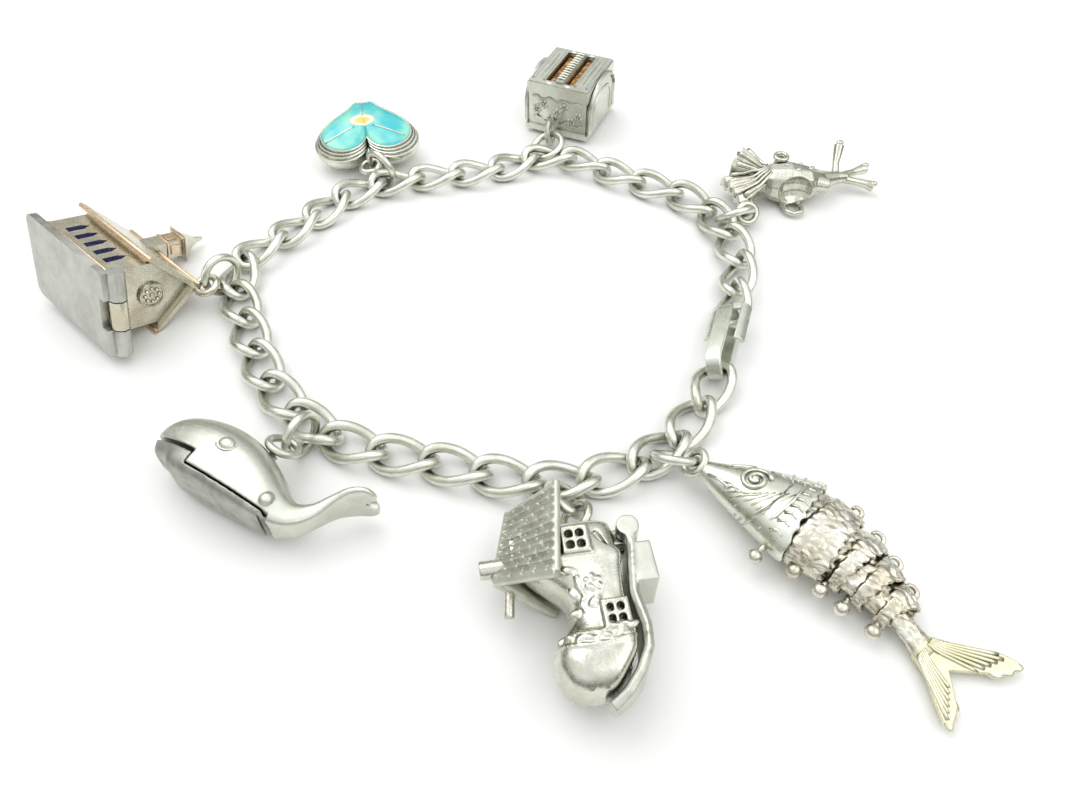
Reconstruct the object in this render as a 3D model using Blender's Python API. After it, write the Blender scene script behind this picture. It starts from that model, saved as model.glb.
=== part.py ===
"""Charm bracelet: a curb chain with seven charms, lying on a table.

The charms lie as they fell round the chain: a church with a hinged base, an
enamelled heart, a toaster, a small figure, an articulated fish, a shoe house
with a hinged sole, and a whale with a hinged belly. Metres, +Z up, and the
origin lies on the table under the middle of the whole bracelet.
"""
import math

import bmesh
import bpy
from mathutils import Matrix, Vector

MM = 0.001
SOLVER_SCALE = 1000.0
SLIVER = 0.002 * MM
UP = Vector((0.0, 0.0, 1.0))

# Chain
WIRE = 1.2 * MM
LINK_COUNT = 32
LINK_PITCH = 6.0 * MM
LINK_SLACK = 0.29 * MM
LINK_PLAY = 0.15 * MM
LINK_WIDTH = 5.2 * MM
LINK_TWIST = math.radians(90.0)
LINK_STATIONS = 14
LINK_FULLNESS = 0.85
CLASP_SPAN = 13.75 * MM

# The chain's route, from the clasp round to the clasp again
ROUTE = [
    (28.4, -9.6), (26.1, -16.1), (19.2, -25.2), (8.4, -29.0), (-4.1, -26.6), (-16.5, -22.9),
    (-24.2, -15.8), (-28.7, -7.3), (-32.4, 4.6), (-26.3, 12.6), (-19.0, 21.4), (-7.7, 24.5),
    (3.4, 27.3), (8.9, 29.0), (19.5, 23.8), (29.3, 17.0), (32.4, 5.4), (30.4, -3.0),
]
ROUTE_STEPS = 24
# The middle of the whole bracelet, charms included, on the route's own grid
ROUTE_CENTRE = Vector((-0.875, -2.41, 0.0)) * MM

# How each link has settled from its even place on the route: shift east and north in
# millimetres, turn on the table and roll from lying flat in degrees
LINK_SETTLING = {
    1: (-0.07, -0.11, -2, -13), 2: (0.01, 0.01, 2, 0), 3: (-0.02, 0.08, 0, 1), 4: (0.05, -0.00, 0, -3),
    5: (0.10, 0.05, 0, 3), 6: (0.13, -0.03, -1, 3), 7: (0.08, -0.06, -1, 2), 8: (-0.04, -0.04, 2, 0),
    9: (-0.02, -0.03, 0, 0), 10: (0.08, 0.04, -1, 2), 11: (0.02, -0.05, 1, -4), 12: (0.11, -0.01, -2, -6),
    13: (-0.05, 0.06, 1, -7), 14: (-0.15, 0.01, 3, 0), 15: (0.15, -0.04, -1, -4), 16: (0.03, -0.13, -3, -11),
    17: (-0.20, 0.25, 1, -9), 18: (-0.06, 0.18, 2, 0), 19: (0.09, -0.12, -2, 2), 20: (-0.11, -0.02, 0, -4),
    21: (-0.03, 0.07, -2, -5), 22: (0.17, -0.20, -2, -5), 23: (-0.01, 0.46, 13, -1),
    24: (-0.01, -0.21, -6, -7),
    25: (-0.06, 0.22, -3, -11), 26: (-0.10, 0.15, 0, -6), 27: (0.04, 0.19, 3, 2), 28: (-0.06, 0.02, 0, 7),
    29: (0.01, 0.04, 1, 15), 30: (0.16, 0.05, 1, 19), 31: (-0.22, 0.04, -2, 31), 32: (0.04, 0.07, 3, 41),
}

# Clasp: a flat strip bent into a long loop, with folded wings at one end
CLASP_LENGTH = 11.2 * MM
CLASP_OPENING = 2.9 * MM
STRIP_WIDTH = 1.8 * MM
STRIP_THICKNESS = 0.55 * MM
CLASP_ROLL = math.radians(65.0)
CLASP_BEND_STEPS = 6
WING_SLOT = 1.1 * MM
# The wings: side, distance of the inner edge from the strip's middle, start from the tail,
# length, width and how far each is folded down
WINGS = [
    (-1, 0.75 * MM, 1.2 * MM, 4.2 * MM, 1.6 * MM, math.radians(45.0)),
    (1, STRIP_WIDTH / 2 + WING_SLOT, 0.0, 6.0 * MM, 1.4 * MM, math.radians(60.0)),
]

# Jump rings
RING_WIRE = 1.0 * MM
RING_RADIUS = 2.35 * MM
RING_STATIONS = 12
LOOP_WIRE = 0.8 * MM
LOOP_RADIUS = 1.3 * MM
LOOP_STATIONS = 10
STEM_RADIUS = 0.5 * MM
STEM_SIDES = 8

# Gaps between pieces
SEAT_GAP = 0.15 * MM
HINGE_GAP = 0.15 * MM
PARTING_GAP = 0.3 * MM


def srgb(hex_colour):
    """An sRGB hex colour as linear RGBA."""
    values = [int(hex_colour[i:i + 2], 16) / 255.0 for i in (1, 3, 5)]
    linear = [v / 12.92 if v <= 0.04045 else ((v + 0.055) / 1.055) ** 2.4 for v in values]
    return (*linear, 1.0)


def material(name, hex_colour, metallic, roughness):
    """A plain Principled BSDF material."""
    made = bpy.data.materials.new(name)
    made.use_nodes = True
    shader = made.node_tree.nodes["Principled BSDF"]
    shader.inputs["Base Color"].default_value = srgb(hex_colour)
    shader.inputs["Metallic"].default_value = metallic
    shader.inputs["Roughness"].default_value = roughness
    return made


def clear_scene():
    """Remove whatever the file starts with."""
    for thing in list(bpy.data.objects):
        bpy.data.objects.remove(thing, do_unlink=True)


def new_object(name, mesh, finish=None):
    """Link a new object for a mesh, curve or empty."""
    made = bpy.data.objects.new(name, mesh)
    bpy.context.scene.collection.objects.link(made)
    if finish is not None:
        made.data.materials.append(finish)
    return made


def mesh_from(shape, name, finish=None):
    """Turn a bmesh into an object with its faces pointing out."""
    bmesh.ops.recalc_face_normals(shape, faces=shape.faces)
    mesh = bpy.data.meshes.new(name)
    shape.to_mesh(mesh)
    shape.free()
    return new_object(name, mesh, finish)


def smooth(thing, angle=math.radians(35.0)):
    """Shade a round piece smooth between its sharp edges."""
    thing.data.shade_smooth()
    thing.data.set_sharp_from_angle(angle=angle)
    return thing


def wire_curve(name, points, diameter, closed=True, sides_setting=1):
    """Curve data for a round wire through the points."""
    curve = bpy.data.curves.new(name, "CURVE")
    curve.dimensions = "3D"
    curve.bevel_depth = diameter / 2
    curve.bevel_resolution = sides_setting
    curve.use_fill_caps = not closed
    spline = curve.splines.new("POLY")
    spline.points.add(len(points) - 1)
    for slot, point in zip(spline.points, points):
        slot.co = (*point, 1.0)
    spline.use_cyclic_u = closed
    return curve


def as_mesh(thing):
    """Swap an object for one that holds its evaluated mesh."""
    bpy.context.view_layer.update()
    graph = bpy.context.evaluated_depsgraph_get()
    mesh = bpy.data.meshes.new_from_object(thing.evaluated_get(graph))
    name = thing.name
    bpy.data.objects.remove(thing, do_unlink=True)
    return new_object(name, mesh)


def wire(name, points, diameter, closed=True):
    """A round wire as a mesh object."""
    return as_mesh(new_object(name, wire_curve(name, points, diameter, closed)))


def circle(centre, radius, normal, steps):
    """Points round a circle."""
    turn = Vector(normal).to_track_quat("Z", "Y").to_matrix()
    spots = []
    for step in range(steps):
        angle = 2 * math.pi * (step + 0.5) / steps
        flat = Vector((math.cos(angle) * radius, math.sin(angle) * radius, 0.0))
        spots.append(Vector(centre) + turn @ flat)
    return spots


def fixed_loop(middle, axis, root, radius=LOOP_RADIUS):
    """The small loop for a charm's jump ring, and the stem that holds it at the root."""
    middle, axis, root = Vector(middle), Vector(axis).normalized(), Vector(root)
    toward = root - middle
    toward -= axis * toward.dot(axis)
    foot = middle + toward.normalized() * radius
    loop = wire("loop", circle(middle, radius, axis, LOOP_STATIONS), LOOP_WIRE)
    return loop, rod("stem", root, foot, STEM_RADIUS, STEM_SIDES)


def block(name, low, high):
    """A box between two corners."""
    shape = bmesh.new()
    bmesh.ops.create_cube(shape, size=1.0)
    low, high = Vector(low), Vector(high)
    size = high - low
    bmesh.ops.scale(shape, vec=size, verts=shape.verts)
    bmesh.ops.translate(shape, vec=(low + high) / 2, verts=shape.verts)
    return mesh_from(shape, name)


def rod(name, start, end, radius, sides=12, end_radius=None):
    """A cylinder or cone between two points."""
    start, end = Vector(start), Vector(end)
    along = end - start
    shape = bmesh.new()
    bmesh.ops.create_cone(
        shape, cap_ends=True, segments=sides, radius1=radius,
        radius2=radius if end_radius is None else end_radius, depth=along.length)
    bmesh.ops.rotate(shape, matrix=along.to_track_quat("Z", "Y").to_matrix(), verts=shape.verts)
    bmesh.ops.translate(shape, vec=(start + end) / 2, verts=shape.verts)
    return mesh_from(shape, name)


def ball(name, centre, radii, around=10, rows=6):
    """A sphere or ellipsoid."""
    shape = bmesh.new()
    bmesh.ops.create_uvsphere(shape, u_segments=around, v_segments=rows, radius=1.0)
    bmesh.ops.scale(shape, vec=Vector(radii), verts=shape.verts)
    bmesh.ops.translate(shape, vec=Vector(centre), verts=shape.verts)
    return mesh_from(shape, name)


def skin(name, rings, closed=False):
    """Stretch a skin over a row of rings, capped at both ends unless it closes on itself."""
    shape = bmesh.new()
    rows = [[shape.verts.new(point) for point in ring] for ring in rings]
    count = len(rows[0])
    pairs = list(zip(rows, rows[1:]))
    if closed:
        pairs.append((rows[-1], rows[0]))
    for row, following in pairs:
        for k in range(count):
            after = (k + 1) % count
            shape.faces.new((row[k], row[after], following[after], following[k]))
    if not closed:
        shape.faces.new(list(reversed(rows[0])))
        shape.faces.new(rows[-1])
    return mesh_from(shape, name)


def prism(name, outline, low, high):
    """A flat outline in X and Y, extruded from one height to another."""
    floor = [Vector((x, y, low)) for x, y in outline]
    roof = [Vector((x, y, high)) for x, y in outline]
    return skin(name, [floor, roof])


def body_ring(centre, direction, across, height, sides, fullness=1.0, fullness_right=None):
    """One rounded section square to a spine that runs in any direction but straight up.

    A second fullness is for the half on the right of the spine.
    """
    direction = Vector(direction).normalized()
    side = UP.cross(direction).normalized()
    rise = direction.cross(side)
    ring = []
    for k in range(sides):
        angle = 2 * math.pi * (k + 0.5) / sides
        c, s = math.cos(angle), math.sin(angle)
        power = fullness_right if fullness_right and c < 0 else fullness
        out = math.copysign(abs(c) ** power, c) * across
        lift = math.copysign(abs(s) ** power, s) * height
        ring.append(Vector(centre) + side * out + rise * lift)
    return ring


def spine_rings(rows, sides, fullness=1.0, fullness_right=None):
    """Sections along a spine, from rows of x, y, z, half width and half height."""
    centres = [Vector(row[:3]) for row in rows]
    rings = []
    for i, row in enumerate(rows):
        before = centres[max(i - 1, 0)]
        after = centres[min(i + 1, len(rows) - 1)]
        rings.append(body_ring(
            centres[i], after - before, row[3], row[4], sides, fullness, fullness_right))
    return rings


def scaled(rows):
    """Rows of millimetres as metres."""
    return [tuple(value * MM for value in row) for row in rows]


def close_slivers(mesh):
    """Weld the corners that a cut leaves within a hair of each other."""
    shape = bmesh.new()
    shape.from_mesh(mesh)
    bmesh.ops.remove_doubles(shape, verts=shape.verts, dist=SLIVER * SOLVER_SCALE)
    bmesh.ops.dissolve_degenerate(shape, edges=shape.edges, dist=SLIVER * SOLVER_SCALE)
    shape.to_mesh(mesh)
    shape.free()


def combine(target, others, operation):
    """Join, cut or intersect solids exactly, and drop the solids that did it.

    The solids are a few millimetres across, and the solver is steadier on shapes of a
    few units, so they are enlarged for it and brought back to size after.
    """
    for other in others:
        for solid in (target, other):
            solid.data.transform(Matrix.Scale(SOLVER_SCALE, 4))
        step = target.modifiers.new("join", "BOOLEAN")
        step.operation = operation
        step.solver = "EXACT"
        step.object = other
        name = target.name
        target = as_mesh(target)
        target.name = name
        close_slivers(target.data)
        target.data.transform(Matrix.Scale(1 / SOLVER_SCALE, 4))
        bpy.data.objects.remove(other, do_unlink=True)
    return target


def fuse(target, *others):
    """Solder pieces into one solid."""
    return combine(target, others, "UNION")


def cut(target, *others):
    """Cut pieces out of a solid."""
    return combine(target, others, "DIFFERENCE")


def keep_inside(target, other):
    """Keep what lies inside another solid."""
    return combine(target, [other], "INTERSECT")


def duplicate(thing, name):
    """A copy with a mesh of its own."""
    return new_object(name, thing.data.copy())


def finish_piece(thing, name, frame, finish, axis_point=None, round_shading=True):
    """Name a piece, hang it on its charm's frame and put its origin on its axis."""
    thing.name = name
    thing.data.materials.clear()
    thing.data.materials.append(finish)
    if axis_point is not None:
        thing.data.transform(Matrix.Translation(-Vector(axis_point)))
        thing.location = axis_point
    if round_shading:
        smooth(thing)
    thing.parent = frame
    return thing


def hang_frame(name, place, turn):
    """An empty that carries one charm."""
    empty = bpy.data.objects.new(name, None)
    bpy.context.scene.collection.objects.link(empty)
    empty.location = place
    empty.rotation_euler = turn
    return empty


def route_curve():
    """A closed smooth curve through the route's points, with its running length."""
    points = [Vector((x, y, 0.0)) * MM for x, y in ROUTE]
    count = len(points)
    curve = []
    for i in range(count):
        p0, p1, p2, p3 = (points[(i + k) % count] for k in (-1, 0, 1, 2))
        for step in range(ROUTE_STEPS):
            t = step / ROUTE_STEPS
            curve.append(0.5 * (2 * p1 + (p2 - p0) * t + (2 * p0 - 5 * p1 + 4 * p2 - p3) * t * t
                                + (3 * p1 - p0 - 3 * p2 + p3) * t ** 3))
    lengths = [0.0]
    for here, there in zip(curve, curve[1:] + curve[:1]):
        lengths.append(lengths[-1] + (there - here).length)
    return curve, lengths


def route_place(distance, curve, lengths):
    """The point at a running length along the route, scaled to the chain's own length."""
    chain = (LINK_COUNT - 1) * (LINK_PITCH - LINK_SLACK) + CLASP_SPAN
    scale = chain / lengths[-1]
    wanted = (distance / scale) % lengths[-1]
    for i, here in enumerate(curve):
        if lengths[i + 1] >= wanted:
            share = (wanted - lengths[i]) / (lengths[i + 1] - lengths[i])
            there = curve[(i + 1) % len(curve)]
            return here.lerp(there, share) * scale
    return curve[0] * scale


def link_places():
    """The middle of each link and its heading along the chain."""
    curve, lengths = route_curve()
    places = []
    for number in range(LINK_COUNT):
        along = CLASP_SPAN / 2 + number * (LINK_PITCH - LINK_SLACK)
        here = route_place(along, curve, lengths)
        ahead = route_place(along + LINK_PITCH / 2, curve, lengths)
        behind = route_place(along - LINK_PITCH / 2, curve, lengths)
        course = ahead - behind
        places.append((here - ROUTE_CENTRE, math.atan2(course.y, course.x)))
    return places


def clasp_place(places):
    """The middle of the clasp and its heading, between the last link and the first."""
    last, first = places[-1][0], places[0][0]
    course = first - last
    return (last + first) / 2, math.atan2(course.y, course.x)


def link_points():
    """The middle line of one curb link: an oval twisted end to end."""
    reach = (LINK_PITCH + WIRE + LINK_PLAY) / 2
    half = (LINK_WIDTH - WIRE) / 2
    points = []
    for step in range(LINK_STATIONS):
        angle = 2 * math.pi * step / LINK_STATIONS
        along = reach * math.cos(angle)
        rise = math.sin(angle)
        across = half * math.copysign(abs(rise) ** LINK_FULLNESS, rise)
        twist = -LINK_TWIST * along / (2 * reach)
        points.append(Vector((along, across * math.cos(twist), across * math.sin(twist))))
    return points


def resting_height(points, roll):
    """How high a wire's middle must lie so that it rests on the table."""
    turn = Matrix.Rotation(roll, 3, "X")
    return WIRE / 2 - min((turn @ point).z for point in points)


def make_chain(silver, places):
    """The links, each on the table and through its neighbours."""
    points = link_points()
    curve = wire_curve("curb_link", points, WIRE)
    curve.materials.append(silver)
    for number, (place, heading) in enumerate(places, start=1):
        east, north, turn, roll = LINK_SETTLING[number]
        roll = math.radians(roll)
        link = new_object(f"link_{number:02d}", curve)
        link.location = place + Vector((east, north, 0.0)) * MM + UP * resting_height(points, roll)
        link.rotation_euler = (roll, 0.0, heading + math.radians(turn))


def make_clasp(silver, places):
    """The clasp: a long loop of strip with a wing on each side of one end."""
    middle, heading = clasp_place(places)
    rise = (CLASP_OPENING + STRIP_THICKNESS) / 2
    straight = CLASP_LENGTH / 2 - STRIP_THICKNESS / 2 - rise
    rings = []
    for end in (1, -1):
        for step in range(CLASP_BEND_STEPS + 1):
            angle = math.pi * (step / CLASP_BEND_STEPS - 0.5)
            out = Vector((math.cos(angle) * end, 0.0, math.sin(angle) * end))
            centre = Vector((straight * end, 0.0, 0.0)) + out * rise
            rings.append([
                centre + out * STRIP_THICKNESS / 2 * a + Vector((0.0, STRIP_WIDTH / 2 * b, 0.0))
                for a, b in ((1, 1), (1, -1), (-1, -1), (-1, 1))])
    strip = skin("strip", rings, closed=True)
    top = rise + STRIP_THICKNESS / 2
    tail = -straight - rise * 0.6
    wings = []
    for side, inner, start, length, width, fall in WINGS:
        wing = block("wing", (0.0, 0.0, -STRIP_THICKNESS), (length, width, 0.0))
        wing.data.transform(Matrix.Rotation(-fall, 4, "X"))
        if side < 0:
            wing.data.transform(Matrix.Scale(-1, 4, Vector((0.0, 1.0, 0.0))))
            wing.data.flip_normals()
        wing.data.transform(Matrix.Translation((tail + start, side * inner, top)))
        wings.append(wing)
    bridge = block(
        "bridge", (tail, 0.0, top - STRIP_THICKNESS),
        (tail + 1.0 * MM, STRIP_WIDTH / 2 + WING_SLOT + 0.3 * MM, top - 0.05 * MM))
    clasp = fuse(strip, bridge, *wings)
    finish_piece(clasp, "clasp", None, silver)
    turn = Matrix.Rotation(math.pi / 2 - CLASP_ROLL, 3, "X")
    lowest = min((turn @ v.co).z for v in clasp.data.vertices)
    clasp.location = middle - UP * lowest
    clasp.rotation_euler = (math.pi / 2 - CLASP_ROLL, 0.0, heading)


# Jump rings: the link each goes round, the ring's middle from that link's middle in
# millimetres, and the turn and tilt of its axis in degrees
RINGS = [
    ("ring_shoe", 5, 0.65, -2.71, 2.24, -144, 134),
    ("ring_whale", 10, -0.36, -2.44, 2.85, 151, 89),
    ("ring_church", 15, -1.41, -1.58, 2.91, 142, 94),
    ("ring_heart", 20, -2.30, 1.20, 2.89, -130, 97),
    ("ring_toaster", 24, -0.25, 2.83, 1.56, 23, 156),
    ("ring_figure", 29, 2.27, 0.36, 2.41, 111, 51),
    ("ring_fish", 3, 1.47, -1.45, 2.32, 80, 48),
]


def make_rings(silver, places):
    """The jump rings that carry the charms."""
    for name, link, east, north, height, turn, tilt in RINGS:
        centre = places[link - 1][0] + Vector((east, north, height)) * MM
        axis = Vector((math.sin(math.radians(tilt)), 0.0, math.cos(math.radians(tilt))))
        axis.rotate(Matrix.Rotation(math.radians(turn), 3, "Z"))
        points = circle((0.0, 0.0, 0.0), RING_RADIUS, axis, RING_STATIONS)
        ring = new_object(name, wire_curve(name, points, RING_WIRE))
        ring.data.materials.append(silver)
        ring.location = centre


# Where each charm lies: the link it hangs on, its own origin from that link's middle in
# millimetres, and its heading on the table in degrees
CHARMS = {
    "shoe": (5, 6.51, -12.57, 98.7),
    "whale": (9, -10.51, -8.55, -30.4),
    "church": (15, -16.70, -6.60, -41.3),
    "heart": (19, -0.30, 12.22, 10.5),
    "toaster": (24, 3.40, 12.60, -23.9),
    "figure": (28, 4.10, 0.85, 11.0),
    "fish": (2, 0.96, -6.95, -47.8),
}


def charm_frame(name, places, lift=0.0, tip=0.0):
    """The frame of one charm on the table."""
    link, east, north, heading = CHARMS[name]
    place = places[link - 1][0] + Vector((east, north, 0.0)) * MM + UP * lift
    return hang_frame(name + "_frame", place, (tip, 0.0, math.radians(heading)))


# Church, lying on its side: X to the rose window, Z to the ridge
CHURCH_PLATE_LENGTH = 16.0 * MM
CHURCH_PLATE_WIDTH = 11.0 * MM
CHURCH_PLATE_THICKNESS = 0.9 * MM
CHURCH_CORNER = 1.2 * MM
CHURCH_LENGTH = 14.0 * MM
CHURCH_WIDTH = 8.2 * MM
CHURCH_WALL = 0.8 * MM
CHURCH_EAVE = 6.2 * MM
CHURCH_RIDGE = 10.6 * MM
CHURCH_ROOF_REACH = 0.9 * MM
CHURCH_ROOF_THICKNESS = 0.8 * MM
CHURCH_ROOF_LENGTH = 15.8 * MM
CHURCH_WINDOWS = 5
CHURCH_WINDOW_PITCH = 2.1 * MM
CHURCH_WINDOW_WIDTH = 1.0 * MM
CHURCH_WINDOW_SILL = 1.9 * MM
CHURCH_WINDOW_HEIGHT = 2.7 * MM
CHURCH_GLASS = 0.35 * MM
CHURCH_ROSE_RADIUS = 1.55 * MM
CHURCH_ROSE_DEPTH = 0.3 * MM
CHURCH_KNUCKLE = 1.0 * MM
CHURCH_HINGE_REACH = 1.05 * MM
CHURCH_HINGE_RISE = 0.7 * MM
CHURCH_TOWER_PLACE = -2.4 * MM
CHURCH_TOWER_WIDTH = 2.3 * MM
CHURCH_TOWER_HEIGHT = 15.0 * MM
CHURCH_SPIRE_WIDTH = 3.6 * MM
CHURCH_SPIRE_HEIGHT = 3.4 * MM
CHURCH_LEAN = math.radians(-18.0)


def rounded_outline(length, width, radius, steps=3):
    """A rectangle with round corners, in X and Y."""
    outline = []
    corners = ((1, 1, 0.0), (-1, 1, 90.0), (-1, -1, 180.0), (1, -1, 270.0))
    for sx, sy, start in corners:
        for step in range(steps + 1):
            angle = math.radians(start + 90.0 * step / steps)
            outline.append((sx * (length / 2 - radius) + math.cos(angle) * radius,
                            sy * (width / 2 - radius) + math.sin(angle) * radius))
    return outline


def square_ring(x, y, z, half):
    """A square of four points, level in X and Y."""
    return [Vector((x + half * a, y + half * b, z)) for a, b in ((1, 1), (-1, 1), (-1, -1), (1, -1))]


def church_window(x, low, high, reach):
    """A pointed window that reaches through both walls."""
    half = CHURCH_WINDOW_WIDTH / 2
    shoulder = high - CHURCH_WINDOW_WIDTH * 0.9
    outline = [(x - half, low), (x + half, low), (x + half, shoulder), (x, high), (x - half, shoulder)]
    sides = [[Vector((px, y, pz)) for px, pz in outline] for y in (-reach, reach)]
    return skin("window", sides)


def make_church(silver, blue, places):
    """The church, its hinged base plate and the blue panes behind its windows."""
    half = CHURCH_WIDTH / 2
    slope = (CHURCH_RIDGE - CHURCH_EAVE) / half
    length = CHURCH_LENGTH
    gable = [(-half, SEAT_GAP), (half, SEAT_GAP), (half, CHURCH_EAVE), (0.0, CHURCH_RIDGE),
             (-half, CHURCH_EAVE)]
    walls = skin("walls", [[Vector((x, y, z)) for y, z in gable] for x in (-length / 2, length / 2)])
    inner = half - CHURCH_WALL
    room = [(-inner, -MM), (inner, -MM), (inner, CHURCH_EAVE - CHURCH_WALL),
            (0.0, CHURCH_RIDGE - 2.2 * CHURCH_WALL), (-inner, CHURCH_EAVE - CHURCH_WALL)]
    hollow = length / 2 - CHURCH_WALL
    space = skin("space", [[Vector((x, y, z)) for y, z in room] for x in (-hollow, hollow)])
    out = half + CHURCH_ROOF_REACH
    drop = CHURCH_ROOF_REACH * slope
    roof_line = [
        (out, CHURCH_EAVE - drop), (out, CHURCH_EAVE - drop + CHURCH_ROOF_THICKNESS),
        (0.0, CHURCH_RIDGE + CHURCH_ROOF_THICKNESS),
        (-out, CHURCH_EAVE - drop + CHURCH_ROOF_THICKNESS), (-out, CHURCH_EAVE - drop),
        (0.0, CHURCH_RIDGE - 0.2 * MM)]
    ends = (-CHURCH_ROOF_LENGTH / 2, CHURCH_ROOF_LENGTH / 2)
    roof = skin("roof", [[Vector((x, y, z)) for y, z in roof_line] for x in ends])
    tower = skin("tower", [
        square_ring(CHURCH_TOWER_PLACE, 0.0, z, CHURCH_TOWER_WIDTH / 2)
        for z in (CHURCH_EAVE + 0.5 * MM, CHURCH_TOWER_HEIGHT)])
    spire_rows = ((0.0, 1.0), (0.3, 0.52), (0.65, 0.2), (1.0, 0.08))
    spire = skin("spire", [
        square_ring(CHURCH_TOWER_PLACE, 0.0, CHURCH_TOWER_HEIGHT - 0.2 * MM + CHURCH_SPIRE_HEIGHT * rise,
                    CHURCH_SPIRE_WIDTH / 2 * share) for rise, share in spire_rows])
    rose_front = length / 2 + CHURCH_ROSE_DEPTH
    rose = rod("rose", (length / 2 - 0.3 * MM, 0.0, CHURCH_EAVE - 0.6 * MM),
               (rose_front, 0.0, CHURCH_EAVE - 0.6 * MM), CHURCH_ROSE_RADIUS, 16)
    axis_x = CHURCH_PLATE_LENGTH / 2 + CHURCH_HINGE_REACH
    third = CHURCH_PLATE_WIDTH / 3
    knuckle = rod("knuckle", (axis_x, -third / 2, CHURCH_HINGE_RISE),
                  (axis_x, third / 2, CHURCH_HINGE_RISE), CHURCH_KNUCKLE)
    arm = block("arm", (length / 2 - 0.4 * MM, -third / 2, CHURCH_HINGE_RISE + 0.1 * MM),
                (axis_x, third / 2, CHURCH_HINGE_RISE + 0.85 * MM))
    loop_middle = (CHURCH_ROOF_LENGTH / 2 + 0.5 * MM, 0.0, CHURCH_RIDGE + 1.5 * MM)
    loop = fixed_loop(loop_middle, (0.01, 0.84, 0.54), (7.3 * MM, 0.0, 10.7 * MM))
    walls = cut(walls, space)
    walls = fuse(walls, roof, tower, spire, rose, knuckle, arm, *loop)
    row = range(CHURCH_WINDOWS)
    spots = [(i - (CHURCH_WINDOWS - 1) / 2) * CHURCH_WINDOW_PITCH for i in row]
    top = CHURCH_WINDOW_SILL + CHURCH_WINDOW_HEIGHT
    walls = cut(walls, *[church_window(x, CHURCH_WINDOW_SILL, top, half + MM) for x in spots])
    panes_length = spots[-1] - spots[0] + CHURCH_WINDOW_WIDTH + 1.2 * MM
    pane_out = inner - SEAT_GAP
    panes = block("panes", (-panes_length / 2, -pane_out, CHURCH_WINDOW_SILL - 0.6 * MM),
                  (panes_length / 2, pane_out, top + 0.4 * MM))
    middle = block("middle", (-panes_length, -pane_out + CHURCH_GLASS, 0.0),
                   (panes_length, pane_out - CHURCH_GLASS, top - 0.1 * MM))
    panes = cut(panes, middle)
    plate = prism("plate", rounded_outline(CHURCH_PLATE_LENGTH, CHURCH_PLATE_WIDTH, CHURCH_CORNER),
                  -CHURCH_PLATE_THICKNESS, 0.0)
    pieces = []
    for side in (-1, 1):
        low = third / 2 + HINGE_GAP
        high = CHURCH_PLATE_WIDTH / 2
        ys = sorted((side * low, side * high))
        pieces.append(rod("knuckle", (axis_x, ys[0], CHURCH_HINGE_RISE),
                          (axis_x, ys[1], CHURCH_HINGE_RISE), CHURCH_KNUCKLE))
        pieces.append(block("arm", (axis_x - 2.2 * MM, ys[0], -CHURCH_PLATE_THICKNESS),
                            (axis_x, ys[1], 0.0)))
    plate = fuse(plate, *pieces)
    lean = CHURCH_LEAN
    turn = Matrix.Rotation(lean - math.pi / 2, 3, "X")
    lowest = min((turn @ v.co).z for v in list(walls.data.vertices) + list(plate.data.vertices))
    frame = charm_frame("church", places, lift=-lowest, tip=lean - math.pi / 2)
    axis = (axis_x, 0.0, CHURCH_HINGE_RISE)
    finish_piece(walls, "church_body", frame, silver, round_shading=False)
    finish_piece(panes, "church_enamel", frame, blue, round_shading=False)
    finish_piece(plate, "church_base", frame, silver, axis_point=axis)


# Heart, lying on its back: Y to the point
HEART_WIDTH = 15.2 * MM
HEART_LENGTH = 13.6 * MM
HEART_THICKNESS = 5.2 * MM
HEART_STEPS = 24
HEART_ENAMEL_SHARE = 0.7
HEART_ENAMEL = 0.45 * MM
HEART_SKINS = ((0.3, 0.02), (0.72, 0.1), (0.93, 0.28), (1.0, 0.5), (0.95, 0.7), (0.84, 0.86), (0.74, 0.94))


def heart_outline(share, height):
    """One heart-shaped section at a share of full size."""
    ring = []
    for step in range(HEART_STEPS):
        t = 2 * math.pi * step / HEART_STEPS
        x = 16 * math.sin(t) ** 3
        y = 13 * math.cos(t) - 5 * math.cos(2 * t) - 2 * math.cos(3 * t) - math.cos(4 * t)
        ring.append(Vector((-x / 32 * HEART_WIDTH * share, -(y + 2.5) / 29 * HEART_LENGTH * share, height)))
    return ring


def make_heart(silver, enamel, places):
    """The puffed heart with its enamelled top."""
    full = HEART_THICKNESS
    rings = [heart_outline(share, full * height) for share, height in HEART_SKINS]
    rim = HEART_ENAMEL_SHARE
    seat = [(rim, 0.955 * full), (rim, 0.955 * full - HEART_ENAMEL), (0.3, full - HEART_ENAMEL * 1.1)]
    rings += [heart_outline(share, height) for share, height in seat]
    heart = skin("heart", rings)
    cleft = HEART_LENGTH * -0.36
    loop_middle = (0.0, cleft - 2.6 * MM, full * 0.5)
    loop = fixed_loop(loop_middle, (-0.17, 0.12, 0.98), (0.0, cleft + 2.0 * MM, full * 0.5))
    heart = fuse(heart, *loop)
    inset = rim - 0.025
    low = SEAT_GAP - HEART_ENAMEL
    crown = [(0.28, full - HEART_ENAMEL * 1.1 + SEAT_GAP), (inset, 0.955 * full + low),
             (inset, 0.965 * full), (0.45, 0.995 * full), (0.15, full)]
    top = skin("top", [heart_outline(share, height) for share, height in crown])
    frame = charm_frame("heart", places)
    finish_piece(heart, "heart_body", frame, silver)
    finish_piece(top, "heart_enamel", frame, enamel)


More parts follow.
